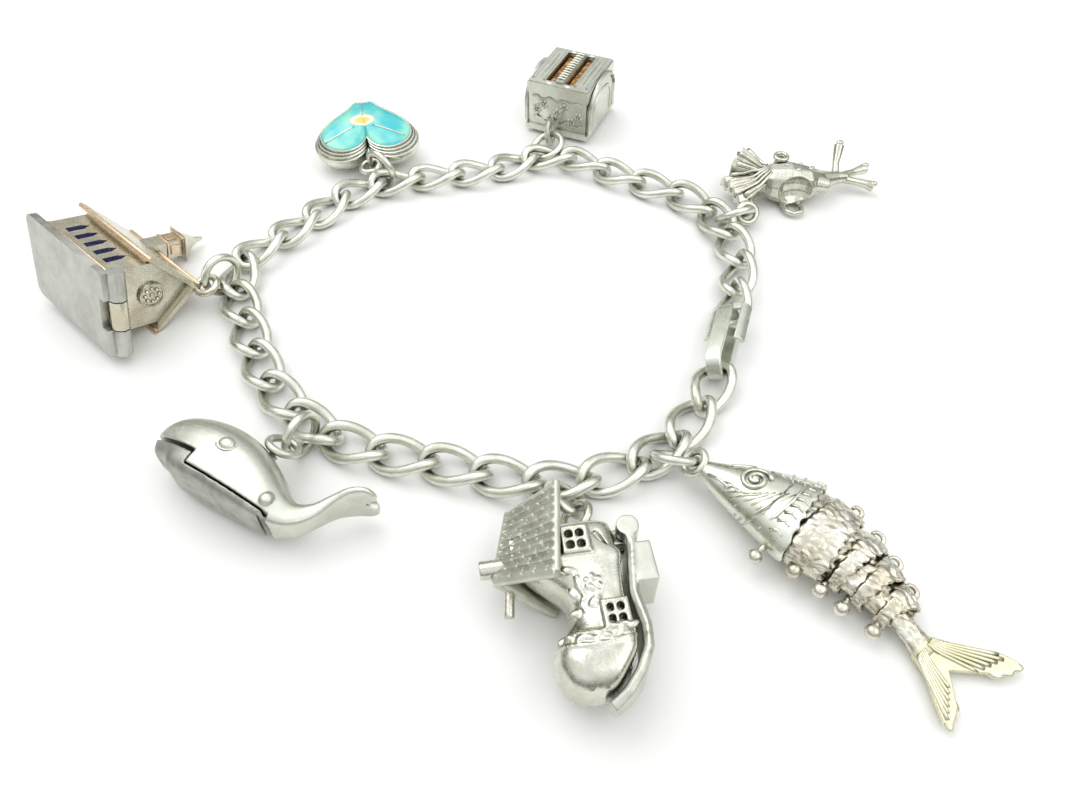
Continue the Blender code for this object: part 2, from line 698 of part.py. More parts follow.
# Toaster, standing on its feet: X along its front, Y away from the chain
TOASTER_LENGTH = 9.4 * MM
TOASTER_DEPTH = 10.6 * MM
TOASTER_HEIGHT = 7.5 * MM
TOASTER_FOOT = 0.6 * MM
TOASTER_FLANGE = 0.7 * MM
TOASTER_FLANGE_REACH = 0.45 * MM
TOASTER_SLOT_WIDTH = 1.6 * MM
TOASTER_SLOT_LENGTH = 9.0 * MM
TOASTER_SLOT_DEPTH = 3.6 * MM
TOASTER_SLOT_PLACE = 1.55 * MM
TOASTER_PANEL = 0.55 * MM
TOAST_GAP = 0.2 * MM
TOAST_BELOW = 0.5 * MM


def make_toaster(silver, toast, places):
    """The toaster with two slices standing in its slots."""
    half_x, half_y, top = TOASTER_LENGTH / 2, TOASTER_DEPTH / 2, TOASTER_HEIGHT
    deck = TOASTER_FOOT + TOASTER_FLANGE
    body = block("body", (-half_x, -half_y, deck - 0.2 * MM), (half_x, half_y, top))
    reach = TOASTER_FLANGE_REACH
    flange = block("flange", (-half_x - reach, -half_y - reach, TOASTER_FOOT),
                   (half_x + reach, half_y + reach, deck))
    lid = block("lid", (-half_x - 0.2 * MM, -half_y - 0.2 * MM, top - 1.7 * MM),
                (half_x + 0.2 * MM, half_y + 0.2 * MM, top - 0.25 * MM))
    panel_outline = [(-0.46, 0.0), (0.46, 0.0), (0.46, 0.55), (0.32, 0.86), (0.0, 0.97), (-0.32, 0.86),
                     (-0.46, 0.55)]
    panels = []
    for side in (-1, 1):
        xs = (side * (half_x - 0.1 * MM), side * (half_x + TOASTER_PANEL))
        panels.append(skin("panel", [[
            Vector((x, y * TOASTER_DEPTH, deck - 0.1 * MM + z * (top - deck - 0.1 * MM)))
            for y, z in panel_outline] for x in xs]))
    feet = [rod("foot", (sx * half_x * 0.8, sy * half_y * 0.8, 0.0),
                (sx * half_x * 0.8, sy * half_y * 0.8, TOASTER_FOOT + 0.2 * MM), 0.8 * MM, 10)
            for sx in (-1, 1) for sy in (-1, 1)]
    loop_middle = (0.0, -half_y - reach - 2.3 * MM, 2.1 * MM)
    loop = fixed_loop(loop_middle, (0.97, 0.13, 0.19), (0.0, -half_y + 0.3 * MM, 2.1 * MM))
    toaster = fuse(body, flange, lid, *panels, *feet, *loop)
    floor = top - TOASTER_SLOT_DEPTH
    slots = []
    slices = []
    for side, name in ((-1, "toast_left"), (1, "toast_right")):
        x = side * TOASTER_SLOT_PLACE
        half = TOASTER_SLOT_WIDTH / 2
        long_half = TOASTER_SLOT_LENGTH / 2
        slots.append(block("slot", (x - half, -long_half, floor), (x + half, long_half, top + MM)))
        high = top - TOAST_BELOW
        crust = [(-0.5, 0.0), (0.5, 0.0), (0.5, 0.7), (0.4, 0.93), (0.22, 1.0), (0.0, 0.93), (-0.22, 1.0),
                 (-0.4, 0.93), (-0.5, 0.7)]
        low = floor + SEAT_GAP
        long_side = TOASTER_SLOT_LENGTH - 2 * TOAST_GAP
        slices.append((name, skin(name, [[
            Vector((x + side_x * (half - TOAST_GAP), y * long_side, low + z * (high - low)))
            for y, z in crust] for side_x in (-1, 1)])))
    toaster = cut(toaster, *slots)
    frame = charm_frame("toaster", places)
    finish_piece(toaster, "toaster_body", frame, silver, round_shading=False)
    for name, piece in slices:
        finish_piece(piece, name, frame, toast, round_shading=False)


# Figure, lying down: X to its feet, Y away from the chain
FIGURE_BODY = scaled([
    (5.4, 0.9, 3.2, 1.2, 1.3), (7.2, 0.5, 3.3, 2.7, 2.4), (9.6, -0.3, 3.2, 3.3, 2.9),
    (12.2, -0.5, 3.0, 2.6, 2.4), (14.8, -0.1, 2.8, 1.5, 1.4), (17.4, 0.2, 2.6, 0.9, 0.9),
    (19.0, 0.3, 2.5, 0.7, 0.7)])
FIGURE_LIMBS = [
    scaled([(17.4, 0.7, 2.7, 0.6, 0.6), (17.9, 2.2, 3.6, 0.5, 0.5), (18.6, 3.6, 4.5, 0.7, 0.7),
            (19.0, 4.4, 5.0, 0.8, 0.8)]),
    scaled([(18.4, 0.6, 2.6, 0.6, 0.6), (20.4, 1.3, 2.4, 0.5, 0.5), (22.0, 1.9, 2.2, 0.7, 0.7),
            (22.8, 2.2, 2.1, 0.9, 0.8)]),
    scaled([(18.4, 0.1, 2.4, 0.6, 0.6), (20.4, -0.6, 2.1, 0.5, 0.5), (21.6, -1.1, 1.9, 0.6, 0.6),
            (22.5, -1.6, 1.7, 0.9, 0.8)]),
]
FIGURE_EAR = scaled([(12.4, -1.2, 3.6, 0.9, 0.9), (13.9, -1.7, 3.3, 1.1, 1.1), (15.0, -2.0, 3.1, 1.0, 1.0)])
FIGURE_BELL = scaled([(9.7, -3.4, 3.6), (2.7, 2.3, 2.3)])
FIGURE_BOSS = scaled([(9.0, 1.9, 4.0), (9.0, 2.1, 6.0)])
FIGURE_HANDLE = scaled([
    (8.6, -2.0, 0.9), (8.6, -3.9, 1.1), (9.2, -4.7, 1.2), (10.4, -4.6, 1.2), (10.9, -3.7, 1.1),
    (10.8, -2.0, 0.9)])
# Fans: root x, y, z, then the middle of the open edge x, y, z, half spread and flutes
FIGURE_FANS = [
    ((6.8, 1.7, 3.8), (3.6, 4.6, 4.9), 2.4, 3),
    ((6.8, 0.4, 3.6), (1.2, -0.2, 2.9), 3.0, 4),
]
FAN_THICKNESS = 0.65 * MM
FAN_FLUTE = 0.35 * MM


def fan(root, edge, spread, flutes):
    """A fluted lobe that opens from a narrow root to a wide edge."""
    root, edge = Vector(root) * MM, Vector(edge) * MM
    course = edge - root
    side = UP.cross(course).normalized()
    count = 2 * flutes
    rings = []
    for share, wide in ((0.0, 0.3), (0.35, 0.62), (0.75, 0.95), (1.0, 1.0)):
        middle = root + course * share
        top = []
        for k in range(count + 1):
            across = (k / count * 2 - 1) * spread * MM * wide
            curl = -0.25 * MM * (k / count * 2 - 1) ** 2 * wide
            wave = FAN_FLUTE * share * (1 if k % 2 else -1)
            top.append(middle + side * across + UP * (FAN_THICKNESS + wave + curl))
        bottom = [point - UP * 2 * FAN_THICKNESS for point in reversed(top)]
        rings.append(top + bottom)
    return skin("fan", rings)


def make_figure(silver, places):
    """The small cast figure, all one piece."""
    body = skin("body", spine_rings(FIGURE_BODY, 12))
    parts = [skin("limb", spine_rings(rows, 8)) for rows in FIGURE_LIMBS]
    parts.append(skin("ear", spine_rings(FIGURE_EAR, 10)))
    parts += [fan(*row) for row in FIGURE_FANS]
    parts.append(rod("boss", *FIGURE_BOSS, 1.1 * MM, 12, 0.8 * MM))
    parts.append(wire("handle", FIGURE_HANDLE, 0.8 * MM, closed=False))
    parts += fixed_loop(Vector((2.2, -4.7, 2.3)) * MM, (0.01, -0.67, 0.75), Vector((3.6, -2.0, 2.8)) * MM)
    figure = fuse(body, *parts)
    hollow = rod("hollow", Vector((13.9, -1.7, 3.3)) * MM, Vector((15.8, -2.2, 3.0)) * MM, 0.6 * MM, 10)
    dent = rod("dent", Vector((9.0, 2.1, 5.5)) * MM, Vector((9.0, 2.2, 7.0)) * MM, 0.45 * MM, 8)
    bell = ball("bell", *FIGURE_BELL, 14, 8)
    figure = cut(figure, hollow, dent, bell)
    lowest = min(v.co.z for v in figure.data.vertices)
    finish_piece(figure, "figure", charm_frame("figure", places, lift=-lowest), silver)


# Whale, lying on its side: X to its tail and Y to its back. Rows are x, y, half width toward
# the back and half thickness up.
WHALE_SIDE = 3.5 * MM
WHALE_SPINE = scaled([
    (-11.0, 0.9, 0.0, 0.5, 0.8), (-10.5, 1.2, 0.0, 1.7, 1.9), (-8.6, 2.4, 0.0, 3.3, 2.9),
    (-5.5, 2.8, 0.0, 3.9, 3.5), (-2.0, 2.7, 0.0, 3.8, 3.5), (1.5, 2.0, 0.0, 3.1, 3.1),
    (4.5, 1.3, 0.0, 2.2, 2.4), (6.6, 1.5, 0.0, 1.6, 1.7), (8.1, 3.0, 0.0, 1.0, 1.3),
    (9.2, 5.0, 0.0, 0.65, 2.2), (10.4, 6.4, 0.0, 0.55, 3.2), (11.8, 7.1, 0.0, 0.5, 3.3),
    (12.7, 7.2, 0.0, 0.35, 2.5)])
WHALE_SIDES = 12
WHALE_JAW = 5.2 * MM
WHALE_JAW_TOP = 1.2 * MM
WHALE_MOUTH = 0.5 * MM
WHALE_BELLY_END = 5.0 * MM
WHALE_PIVOT = (4.4 * MM, 0.6 * MM)
WHALE_PIN = 0.35 * MM
WHALE_EAR = 0.9 * MM
WHALE_EAR_WIDTH = 2.0 * MM
WHALE_BELLY_LINE = -0.1 * MM
WHALE_LOOP = scaled([(0.03, 7.68, 3.68)])[0]
WHALE_LOOP_AXIS = (0.15, 0.62, 0.77)
WHALE_LOOP_ROOT = scaled([(-0.6, 5.2, 3.5)])[0]
WHALE_LOOP_RADIUS = 1.6 * MM
# The back is round and the belly nearly flat
WHALE_BACK_FULLNESS = 0.9
WHALE_BELLY_FULLNESS = 0.45
# The belly plate's tail corner, sloped so that it clears the body as the plate swings
WHALE_BELLY_SLOPE = scaled([(4.45, -0.1), (5.0, -0.65)])
WHALE_TAIL_CLEARANCE = 1.0 * MM


def make_whale(silver, places):
    """The whale, hollow over its belly plate, and the plate that swings from a rivet."""
    side = WHALE_SIDE
    rows = [(x, y, side, width, height) for x, y, _, width, height in WHALE_SPINE]
    whale = skin("whale", spine_rings(rows, WHALE_SIDES, WHALE_BACK_FULLNESS, WHALE_BELLY_FULLNESS))
    belly = duplicate(whale, "belly")
    far = 14 * MM
    line = WHALE_BELLY_LINE
    px, py = WHALE_PIVOT
    tail = WHALE_BELLY_END + WHALE_TAIL_CLEARANCE
    above = line + PARTING_GAP
    away = [(-far, -far), (tail, -far), (tail, py - 0.5 * MM), (WHALE_BELLY_END + 0.3 * MM, above),
            (-WHALE_JAW + PARTING_GAP, above), (-WHALE_JAW + PARTING_GAP, WHALE_JAW_TOP + WHALE_MOUTH),
            (-far, WHALE_JAW_TOP + WHALE_MOUTH)]
    kept = [(-far, -far), (WHALE_BELLY_END, -far), *reversed(WHALE_BELLY_SLOPE), (-WHALE_JAW, line),
            (-WHALE_JAW, WHALE_JAW_TOP), (-far, WHALE_JAW_TOP)]
    belly = keep_inside(belly, prism("kept", kept, -MM, far))
    room = ball("room", (-0.6 * MM, 0.9 * MM, side), (4.4 * MM, 3.9 * MM, 2.2 * MM), 12, 8)
    half = WHALE_EAR_WIDTH / 2
    slot = block("slot", (px - WHALE_EAR - 0.9 * MM, -far, side - half - HINGE_GAP),
                 (px + WHALE_EAR + 0.25 * MM, py + WHALE_EAR + 0.25 * MM, side + half + HINGE_GAP))
    whale = cut(whale, prism("away", away, -MM, far), room, slot)
    pin = rod("pin", (px, py, side - half - 0.6 * MM), (px, py, side + half + 0.6 * MM), WHALE_PIN, 10)
    rivet = rod("rivet", (px, py + 0.5 * MM, side + half),
                (px, py + 0.5 * MM, 2 * side - 0.75 * MM), 0.7 * MM, 10, 0.55 * MM)
    eye = rod("eye", (-2.9 * MM, 3.7 * MM, side + 2.0 * MM), (-2.9 * MM, 3.7 * MM, 2 * side), 0.85 * MM, 12,
              0.6 * MM)
    loop = fixed_loop(WHALE_LOOP, WHALE_LOOP_AXIS, WHALE_LOOP_ROOT, WHALE_LOOP_RADIUS)
    notch = skin("notch", [
        [Vector((x, y, side + z)) for x, z in ((far, -1.4 * MM), (far, 1.4 * MM), (11.4 * MM, 0.0))]
        for y in (4 * MM, 9 * MM)])
    whale = fuse(whale, pin, rivet, eye, *loop)
    whale = cut(whale, notch)
    foot = line - 0.35 * MM
    lug = [(px - WHALE_EAR, foot), (px + WHALE_EAR * 0.5, foot), (px + WHALE_EAR * 0.9, py)]
    for step in range(1, 7):
        angle = math.radians(30.0 * step)
        lug.append((px + math.cos(angle) * WHALE_EAR, py + math.sin(angle) * WHALE_EAR))
    ear = prism("ear", lug, side - half, side + half)
    hole = rod("hole", (px, py, side - 2 * half), (px, py, side + 2 * half), WHALE_PIN + HINGE_GAP, 10)
    belly = cut(fuse(belly, ear), hole)
    frame = charm_frame("whale", places)
    finish_piece(whale, "whale_body", frame, silver)
    finish_piece(belly, "whale_belly", frame, silver, axis_point=(px, py, side))


# Shoe house, lying on its side: X to its heel, Y to its roof
SHOE_SIDE = 4.3 * MM
# Sections of the boot: x, lowest y, highest y and half thickness
SHOE_SECTIONS = scaled([
    (-10.5, 4.8, 6.2, 1.0), (-10.0, 3.7, 7.4, 2.1), (-9.0, 2.7, 8.3, 2.9), (-7.4, 1.5, 8.8, 3.3),
    (-5.8, 1.2, 8.2, 3.2), (-4.5, 1.3, 7.0, 3.0), (-2.7, 1.5, 6.7, 2.9), (-1.2, 1.4, 7.3, 3.0),
    (0.4, 1.15, 9.0, 3.1), (1.6, 0.9, 10.2, 3.2), (2.7, 1.3, 10.6, 3.1), (4.45, 1.4, 10.5, 2.85),
    (5.2, 1.8, 9.8, 2.5), (5.8, 3.4, 8.4, 1.6)])
SHOE_ROOM = scaled([
    (-8.6, 0.4, 7.0, 1.8), (-7.0, -0.8, 7.7, 2.4), (-4.2, -1.6, 6.0, 2.1), (-1.0, -1.6, 6.3, 2.2),
    (1.8, -1.6, 9.0, 2.4), (3.6, -1.6, 9.2, 2.1)])
SHOE_SIDES = 14
SHOE_TOP_FULLNESS = 0.8
SHOE_FOOT_FULLNESS = 0.28
SOLE_THICKNESS = 1.0 * MM
# The sole's spine: x, y and half width
SOLE_SPINE = scaled([
    (2.9, -0.15, 2.65), (1.4, 0.1, 2.8), (0.1, 0.35, 2.8), (-2.3, 0.7, 2.6), (-4.0, 0.5, 2.7),
    (-5.4, 0.35, 2.8), (-7.3, 0.6, 2.8), (-9.2, 1.7, 2.4), (-10.5, 3.0, 1.8), (-11.4, 4.5, 1.0)])
# The heel: its two ends along the sole, its underside and how far it reaches into the sole
HEEL_ENDS = (-1.5 * MM, 2.4 * MM)
HEEL_LEVELS = (-1.75 * MM, 0.15 * MM)
HEEL_HALF = 2.6 * MM
SHOE_HINGE = (4.3 * MM, -0.1 * MM)
SHOE_KNUCKLE = 1.1 * MM
SHOE_EAR_STEPS = 12
SHOE_HINGE_HALF = 2.55 * MM
ROOF_RIDGE = 12.6 * MM
ROOF_THICKNESS = 0.9 * MM
ROOF_HALF = 4.15 * MM
# The roof's two ends: ridge x and y, eave x and y
ROOF_BACK, ROOF_FRONT = scaled([(9.0, 12.0, 8.6, 6.3), (1.6, 12.9, -0.4, 7.4)])
SHOE_LOOP = scaled([(7.95, 3.97, 3.01)])[0]
SHOE_LOOP_AXIS = (0.28, 0.66, 0.70)
SHOE_LOOP_ROOT = scaled([(4.9, 3.9, 3.3)])[0]
SHOE_LOOP_RADIUS = 1.7 * MM
CHIMNEY_PLACE = 2.9 * MM
CHIMNEY_RADIUS = 0.9 * MM
WINDOW_BAR = 0.35 * MM
# Windows: middle x and y, whole width and height, and how deep the panes are cut
SHOE_WINDOWS = scaled([(3.1, 5.1, 2.2, 2.0, 0.8), (-4.4, 2.85, 2.1, 1.8, 4.4)])


def window_panes(x, y, width, height, low, high):
    """Four square holes that leave a cross of bars between them."""
    panes = []
    wide = (width - WINDOW_BAR) / 2
    tall = (height - WINDOW_BAR) / 2
    for sx in (-1, 1):
        for sy in (-1, 1):
            cx = x + sx * (wide + WINDOW_BAR) / 2
            cy = y + sy * (tall + WINDOW_BAR) / 2
            panes.append(block("pane", (cx - wide / 2, cy - tall / 2, low),
                               (cx + wide / 2, cy + tall / 2, high)))
    return panes


def shoe_ring(x, low, high, half, sides):
    """One section of the boot."""
    ring = []
    middle = (low + high) / 2
    for k in range(sides):
        angle = 2 * math.pi * (k + 0.5) / sides
        c, s = math.cos(angle), math.sin(angle)
        squareness = SHOE_TOP_FULLNESS if c > 0 else SHOE_FOOT_FULLNESS
        tall = math.copysign(abs(c) ** squareness, c) * (high - low) / 2
        thick = math.copysign(abs(s) ** squareness, s) * half
        ring.append(Vector((x, middle + tall, SHOE_SIDE + thick)))
    return ring


def roof_ring(ridge_x, ridge_y, eave_x, eave_y):
    """One end of the folded roof: both eaves, the ridge between them and the underside."""
    over, under = [], []
    for sign in (-1, 1):
        eave = Vector((eave_x, eave_y, SHOE_SIDE + sign * ROOF_HALF))
        over.append(eave)
        under.append(eave + Vector((0.0, -ROOF_THICKNESS * 0.8, -sign * ROOF_THICKNESS * 0.6)))
    over.insert(1, Vector((ridge_x, ridge_y, SHOE_SIDE)))
    under.insert(1, Vector((ridge_x, ridge_y - ROOF_THICKNESS * 1.2, SHOE_SIDE)))
    return over + list(reversed(under))


def make_shoe(silver, places):
    """The boot that is a house, hollow over its hinged sole."""
    side = SHOE_SIDE
    boot = skin("boot", [shoe_ring(*row, SHOE_SIDES) for row in SHOE_SECTIONS])
    room = skin("room", [shoe_ring(*row, 10) for row in SHOE_ROOM])
    boot = cut(boot, room)
    hx, hy = SHOE_HINGE
    third = SHOE_HINGE_HALF * 2 / 3
    knuckle = rod("knuckle", (hx, hy, side - third / 2), (hx, hy, side + third / 2), SHOE_KNUCKLE)
    arm = block("arm", (hx - 0.6 * MM, hy + 0.3 * MM, side - third / 2),
                (hx + 0.5 * MM, hy + 2.8 * MM, side + third / 2))
    sills = []
    for x, y, width, height, _ in SHOE_WINDOWS:
        frame_x, frame_y = width / 2 + 0.3 * MM, height / 2 + 0.3 * MM
        sills.append(block("sill", (x - frame_x, y - frame_y, side + 2.0 * MM),
                           (x + frame_x, y + frame_y, side + 3.45 * MM)))
    chimney = rod("chimney", (CHIMNEY_PLACE, ROOF_RIDGE - MM, side),
                  (CHIMNEY_PLACE, ROOF_RIDGE + 1.4 * MM, side), CHIMNEY_RADIUS, 8)
    post = rod("post", (1.4 * MM, ROOF_RIDGE - 1.2 * MM, side - MM),
               (-1.4 * MM, ROOF_RIDGE - 0.8 * MM, side - 1.6 * MM), STEM_RADIUS, 8)
    loop = fixed_loop(SHOE_LOOP, SHOE_LOOP_AXIS, SHOE_LOOP_ROOT, SHOE_LOOP_RADIUS)
    roof = skin("roof", [roof_ring(*ROOF_BACK), roof_ring(*ROOF_FRONT)])
    boot = fuse(boot, roof, knuckle, arm, chimney, post, *loop, *sills)
    panes = []
    for x, y, width, height, depth in SHOE_WINDOWS:
        panes += window_panes(x, y, width, height, depth, side + 3.6 * MM)
    boot = cut(boot, *panes)
    rings = []
    centres = [Vector((x, y, side)) for x, y, _ in SOLE_SPINE]
    for i, (x, y, half) in enumerate(SOLE_SPINE):
        course = centres[min(i + 1, len(centres) - 1)] - centres[max(i - 1, 0)]
        across = UP.cross(course).normalized() * SOLE_THICKNESS / 2
        rings.append([centres[i] + across * a + UP * half * b
                      for a, b in ((1, 0.85), (0, 1), (-1, 0.85), (-1, -0.85), (0, -1), (1, -0.85))])
    sole = skin("sole", rings)
    heel = block("heel", (HEEL_ENDS[0], HEEL_LEVELS[0], side - HEEL_HALF),
                 (HEEL_ENDS[1], HEEL_LEVELS[1], side + HEEL_HALF))
    parts = []
    outline = [(SOLE_SPINE[0][0] - 0.6 * MM, hy + 0.3 * MM), (SOLE_SPINE[0][0] - 0.6 * MM, hy - 0.4 * MM)]
    for step in range(SHOE_EAR_STEPS + 1):
        angle = math.radians(-155.0 + 310.0 * step / SHOE_EAR_STEPS)
        outline.append((hx + math.cos(angle) * SHOE_KNUCKLE, hy + math.sin(angle) * SHOE_KNUCKLE))
    for sign in (-1, 1):
        zs = sorted((side + sign * (third / 2 + HINGE_GAP), side + sign * SHOE_HINGE_HALF))
        parts.append(prism("ear", outline, *zs))
    sole = fuse(sole, *parts, heel)
    frame = charm_frame("shoe", places)
    finish_piece(boot, "shoe_body", frame, silver)
    finish_piece(sole, "shoe_sole", frame, silver, axis_point=(hx, hy, side))


# Fish, lying on its side: X to its tail, Y to its right edge in the picture, heights up
FISH_SIDES = 12
FISH_WALL = 0.45 * MM
FISH_CLEARANCE = 0.35 * MM
# The head: x, y, height of the middle, half width and half thickness
FISH_HEAD = scaled([
    (-0.2, -0.9, 3.1, 0.9, 0.8), (2.0, -0.5, 3.1, 1.9, 1.5), (5.0, 0.2, 3.1, 3.1, 2.3),
    (8.0, 0.9, 3.1, 4.2, 2.8), (11.0, 1.45, 3.1, 5.1, 3.1)])
# The open rims of segments 1 to 4: x, y, height, half width and half thickness
FISH_RIMS = scaled([(15.4, 1.75, 2.75, 4.1, 2.7), (17.9, 1.5, 2.45, 3.5, 2.35), (20.4, 1.1, 2.1, 2.9, 2.0),
                    (22.9, 0.55, 1.75, 2.2, 1.6)])
FISH_NECK_REACH = 1.2 * MM
FISH_TAIL = scaled([(25.2, 0.0, 1.25, 1.3, 0.75), (26.2, -0.1, 1.0, 1.5, 0.45)])
# The tail fan's outline: x and y
FISH_FAN = scaled([
    (25.2, -1.3), (27.0, -2.0), (28.9, -3.6), (30.3, -4.6), (30.9, -4.0), (30.4, -2.6), (29.2, -1.2),
    (28.2, -0.1), (29.6, 1.2), (31.0, 2.6), (32.2, 4.2), (32.0, 5.2), (30.6, 4.8), (28.0, 3.0), (25.2, 1.3)])
FISH_FAN_THICKNESS = 0.6 * MM
# Beads on the edges: which piece, x, y and radius
FISH_BEADS = [
    ("fish_head", 9.7, -4.6, 0.75), ("fish_segment_1", 13.2, -3.3, 0.75),
    ("fish_segment_2", 16.0, -3.0, 0.75),
    ("fish_segment_3", 18.4, -2.8, 0.75), ("fish_segment_4", 21.6, -2.4, 0.75),
    ("fish_segment_1", 13.6, 6.4, 0.5), ("fish_segment_2", 16.6, 5.6, 0.6),
    ("fish_segment_3", 19.2, 4.7, 0.6),
    ("fish_segment_4", 21.8, 3.5, 0.6),
]


def fish_shell(name, front, rim, front_size, rim_size, depth):
    """A short hollow cone with an open rear and a closed neck."""
    front, rim = Vector(front), Vector(rim)
    course = rim - front
    rings = [body_ring(front, course, *front_size, FISH_SIDES)]
    rings.append(body_ring(front.lerp(rim, 0.35), course, *[
        (a * 0.45 + b * 0.55) for a, b in zip(front_size, rim_size)], FISH_SIDES))
    rings.append(body_ring(rim, course, *rim_size, FISH_SIDES))
    inner = [size - FISH_WALL for size in rim_size]
    rings.append(body_ring(rim, course, *inner, FISH_SIDES))
    floor = rim - course.normalized() * depth
    share = max(0.0, 1 - depth / course.length)
    deep = [max(0.3 * MM, (a + (b - a) * share) - FISH_WALL * 1.3) for a, b in zip(front_size, rim_size)]
    rings.append(body_ring(floor, course, *deep, FISH_SIDES))
    return skin(name, rings)


def make_fish(silver, places):
    """The jointed fish: each segment's neck sits loose in the rim before it."""
    head_rings = spine_rings(FISH_HEAD, FISH_SIDES)
    rim = FISH_HEAD[-1]
    centre = Vector(rim[:3])
    course = centre - Vector(FISH_HEAD[-2][:3])
    head_rings.append(body_ring(centre, course, rim[3] - FISH_WALL, rim[4] - FISH_WALL, FISH_SIDES))
    floor = centre - course.normalized() * 2.6 * MM
    head_rings.append(body_ring(floor, course, rim[3] - 1.6 * MM, rim[4] - 1.2 * MM, FISH_SIDES))
    pieces = {"fish_head": skin("fish_head", head_rings)}
    joints = {}
    previous = rim
    for number, row in enumerate(FISH_RIMS, start=1):
        name = f"fish_segment_{number}"
        start = Vector(previous[:3])
        end = Vector(row[:3])
        into = (end - start).normalized() * FISH_NECK_REACH
        neck = [size - FISH_WALL - FISH_CLEARANCE - 0.75 * MM for size in previous[3:]]
        pieces[name] = fish_shell(name, start - into, end, neck, row[3:], 2.0 * MM)
        joints[name] = start - into * 0.5
        previous = row
    start = Vector(previous[:3])
    tail_end = Vector(FISH_TAIL[0][:3])
    into = (tail_end - start).normalized() * FISH_NECK_REACH
    neck = [max(0.4 * MM, size - FISH_WALL - FISH_CLEARANCE - 0.4 * MM) for size in previous[3:]]
    rows = [(*(start - into), *neck), *FISH_TAIL]
    tail = skin("fish_tail", spine_rings(rows, FISH_SIDES))
    low = FISH_TAIL[1][2] - FISH_FAN_THICKNESS / 2
    pieces["fish_tail"] = fuse(tail, prism("fan", FISH_FAN, low, low + FISH_FAN_THICKNESS))
    joints["fish_tail"] = start - into * 0.5
    heights = {"fish_head": FISH_HEAD[-1][2]}
    heights.update({f"fish_segment_{i}": row[2] for i, row in enumerate(FISH_RIMS, start=1)})
    for name, x, y, radius in FISH_BEADS:
        middle = Vector((x * MM, y * MM, heights[name]))
        inward = Vector((0.0, math.copysign(1.6 * MM, -y), 0.0))
        bead = ball("bead", middle, (radius * MM,) * 3, 8, 6)
        stalk = rod("stalk", middle, middle + inward, 0.3 * MM, 6)
        pieces[name] = fuse(pieces[name], bead, stalk)
    mouth = Vector(FISH_HEAD[0][:3])
    loop_middle = mouth + Vector((-LOOP_RADIUS * 0.8, 0.0, 0.0))
    loop = fixed_loop(loop_middle, (0.46, 0.49, -0.74), mouth + Vector((1.0, 0.1, 0.0)) * MM)
    pieces["fish_head"] = fuse(pieces["fish_head"], *loop)
    lowest = min(v.co.z for piece in pieces.values() for v in piece.data.vertices)
    frame = charm_frame("fish", places, lift=-lowest)
    for name, piece in pieces.items():
        finish_piece(piece, name, frame, silver, axis_point=joints.get(name))


def main():
    """Build the whole bracelet."""
    clear_scene()
    silver = material("cast_silver", "#c6cbc1", 1.0, 0.32)
    turquoise = material("turquoise_enamel", "#6fdadb", 0.0, 0.2)
    blue = material("cobalt_enamel", "#2a2f86", 0.0, 0.2)
    brown = material("toast_enamel", "#9a6a30", 0.0, 0.5)
    places = link_places()
    make_chain(silver, places)
    make_clasp(silver, places)
    make_rings(silver, places)
    make_church(silver, blue, places)
    make_heart(silver, turquoise, places)
    make_toaster(silver, brown, places)
    make_figure(silver, places)
    make_whale(silver, places)
    make_shoe(silver, places)
    make_fish(silver, places)
    bpy.context.view_layer.update()


main()
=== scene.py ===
"""Charm bracelet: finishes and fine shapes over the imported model."""
import math
import random

import bmesh
import bpy
import numpy as np
from mathutils import Matrix, Vector, noise
from mathutils.bvhtree import BVHTree


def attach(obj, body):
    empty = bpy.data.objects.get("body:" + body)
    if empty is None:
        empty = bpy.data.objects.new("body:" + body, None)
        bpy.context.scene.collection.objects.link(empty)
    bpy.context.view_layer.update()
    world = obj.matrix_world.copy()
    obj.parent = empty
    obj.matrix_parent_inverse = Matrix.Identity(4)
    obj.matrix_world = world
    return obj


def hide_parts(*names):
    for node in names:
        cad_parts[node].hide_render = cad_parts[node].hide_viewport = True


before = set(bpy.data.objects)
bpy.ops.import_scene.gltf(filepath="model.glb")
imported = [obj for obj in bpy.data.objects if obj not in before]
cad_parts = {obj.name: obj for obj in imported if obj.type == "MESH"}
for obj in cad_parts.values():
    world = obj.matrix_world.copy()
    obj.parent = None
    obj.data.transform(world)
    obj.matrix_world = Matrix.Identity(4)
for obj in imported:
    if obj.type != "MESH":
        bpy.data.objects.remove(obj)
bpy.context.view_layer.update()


# The table and the light
# A plain white table under two softboxes, seen from the photograph's place: low over the
# near side of the bracelet, looking down at about fifty degrees.
MM = 0.001
CAMERA_PLACE = Vector((7.366, -73.703, 71.928)) * MM
CAMERA_PITCH = math.radians(90.0 - 50.8)
CAMERA_LENS = 27.03
TABLE_REACH = 2.5
# Softboxes: place and size in metres, power in watts
SOFTBOXES = [
    ("key_softbox", (-0.12, 0.12, 0.30), 0.30, 0.44),
    ("fill_softbox", (0.24, -0.08, 0.26), 0.34, 0.30),
]


def linear(hex_colour):
    """An sRGB hex colour as linear RGBA."""
    parts = [int(hex_colour[i:i + 2], 16) / 255.0 for i in (1, 3, 5)]
    return (*[p / 12.92 if p <= 0.04045 else ((p + 0.055) / 1.055) ** 2.4 for p in parts], 1.0)


def add(tree, kind, sockets=None, **settings):
    """Add a shader node, set it up, and fill or link its sockets."""
    made = tree.nodes.new(kind)
    for name, value in settings.items():
        setattr(made, name, value)
    for socket, value in (sockets or {}).items():
        if isinstance(value, bpy.types.NodeSocket):
            tree.links.new(value, made.inputs[socket])
        else:
            made.inputs[socket].default_value = value
    return made


def start_material(name):
    """A material with its shader and its node tree."""
    made = bpy.data.materials.new(name)
    made.use_nodes = True
    return made, made.node_tree, made.node_tree.nodes["Principled BSDF"]


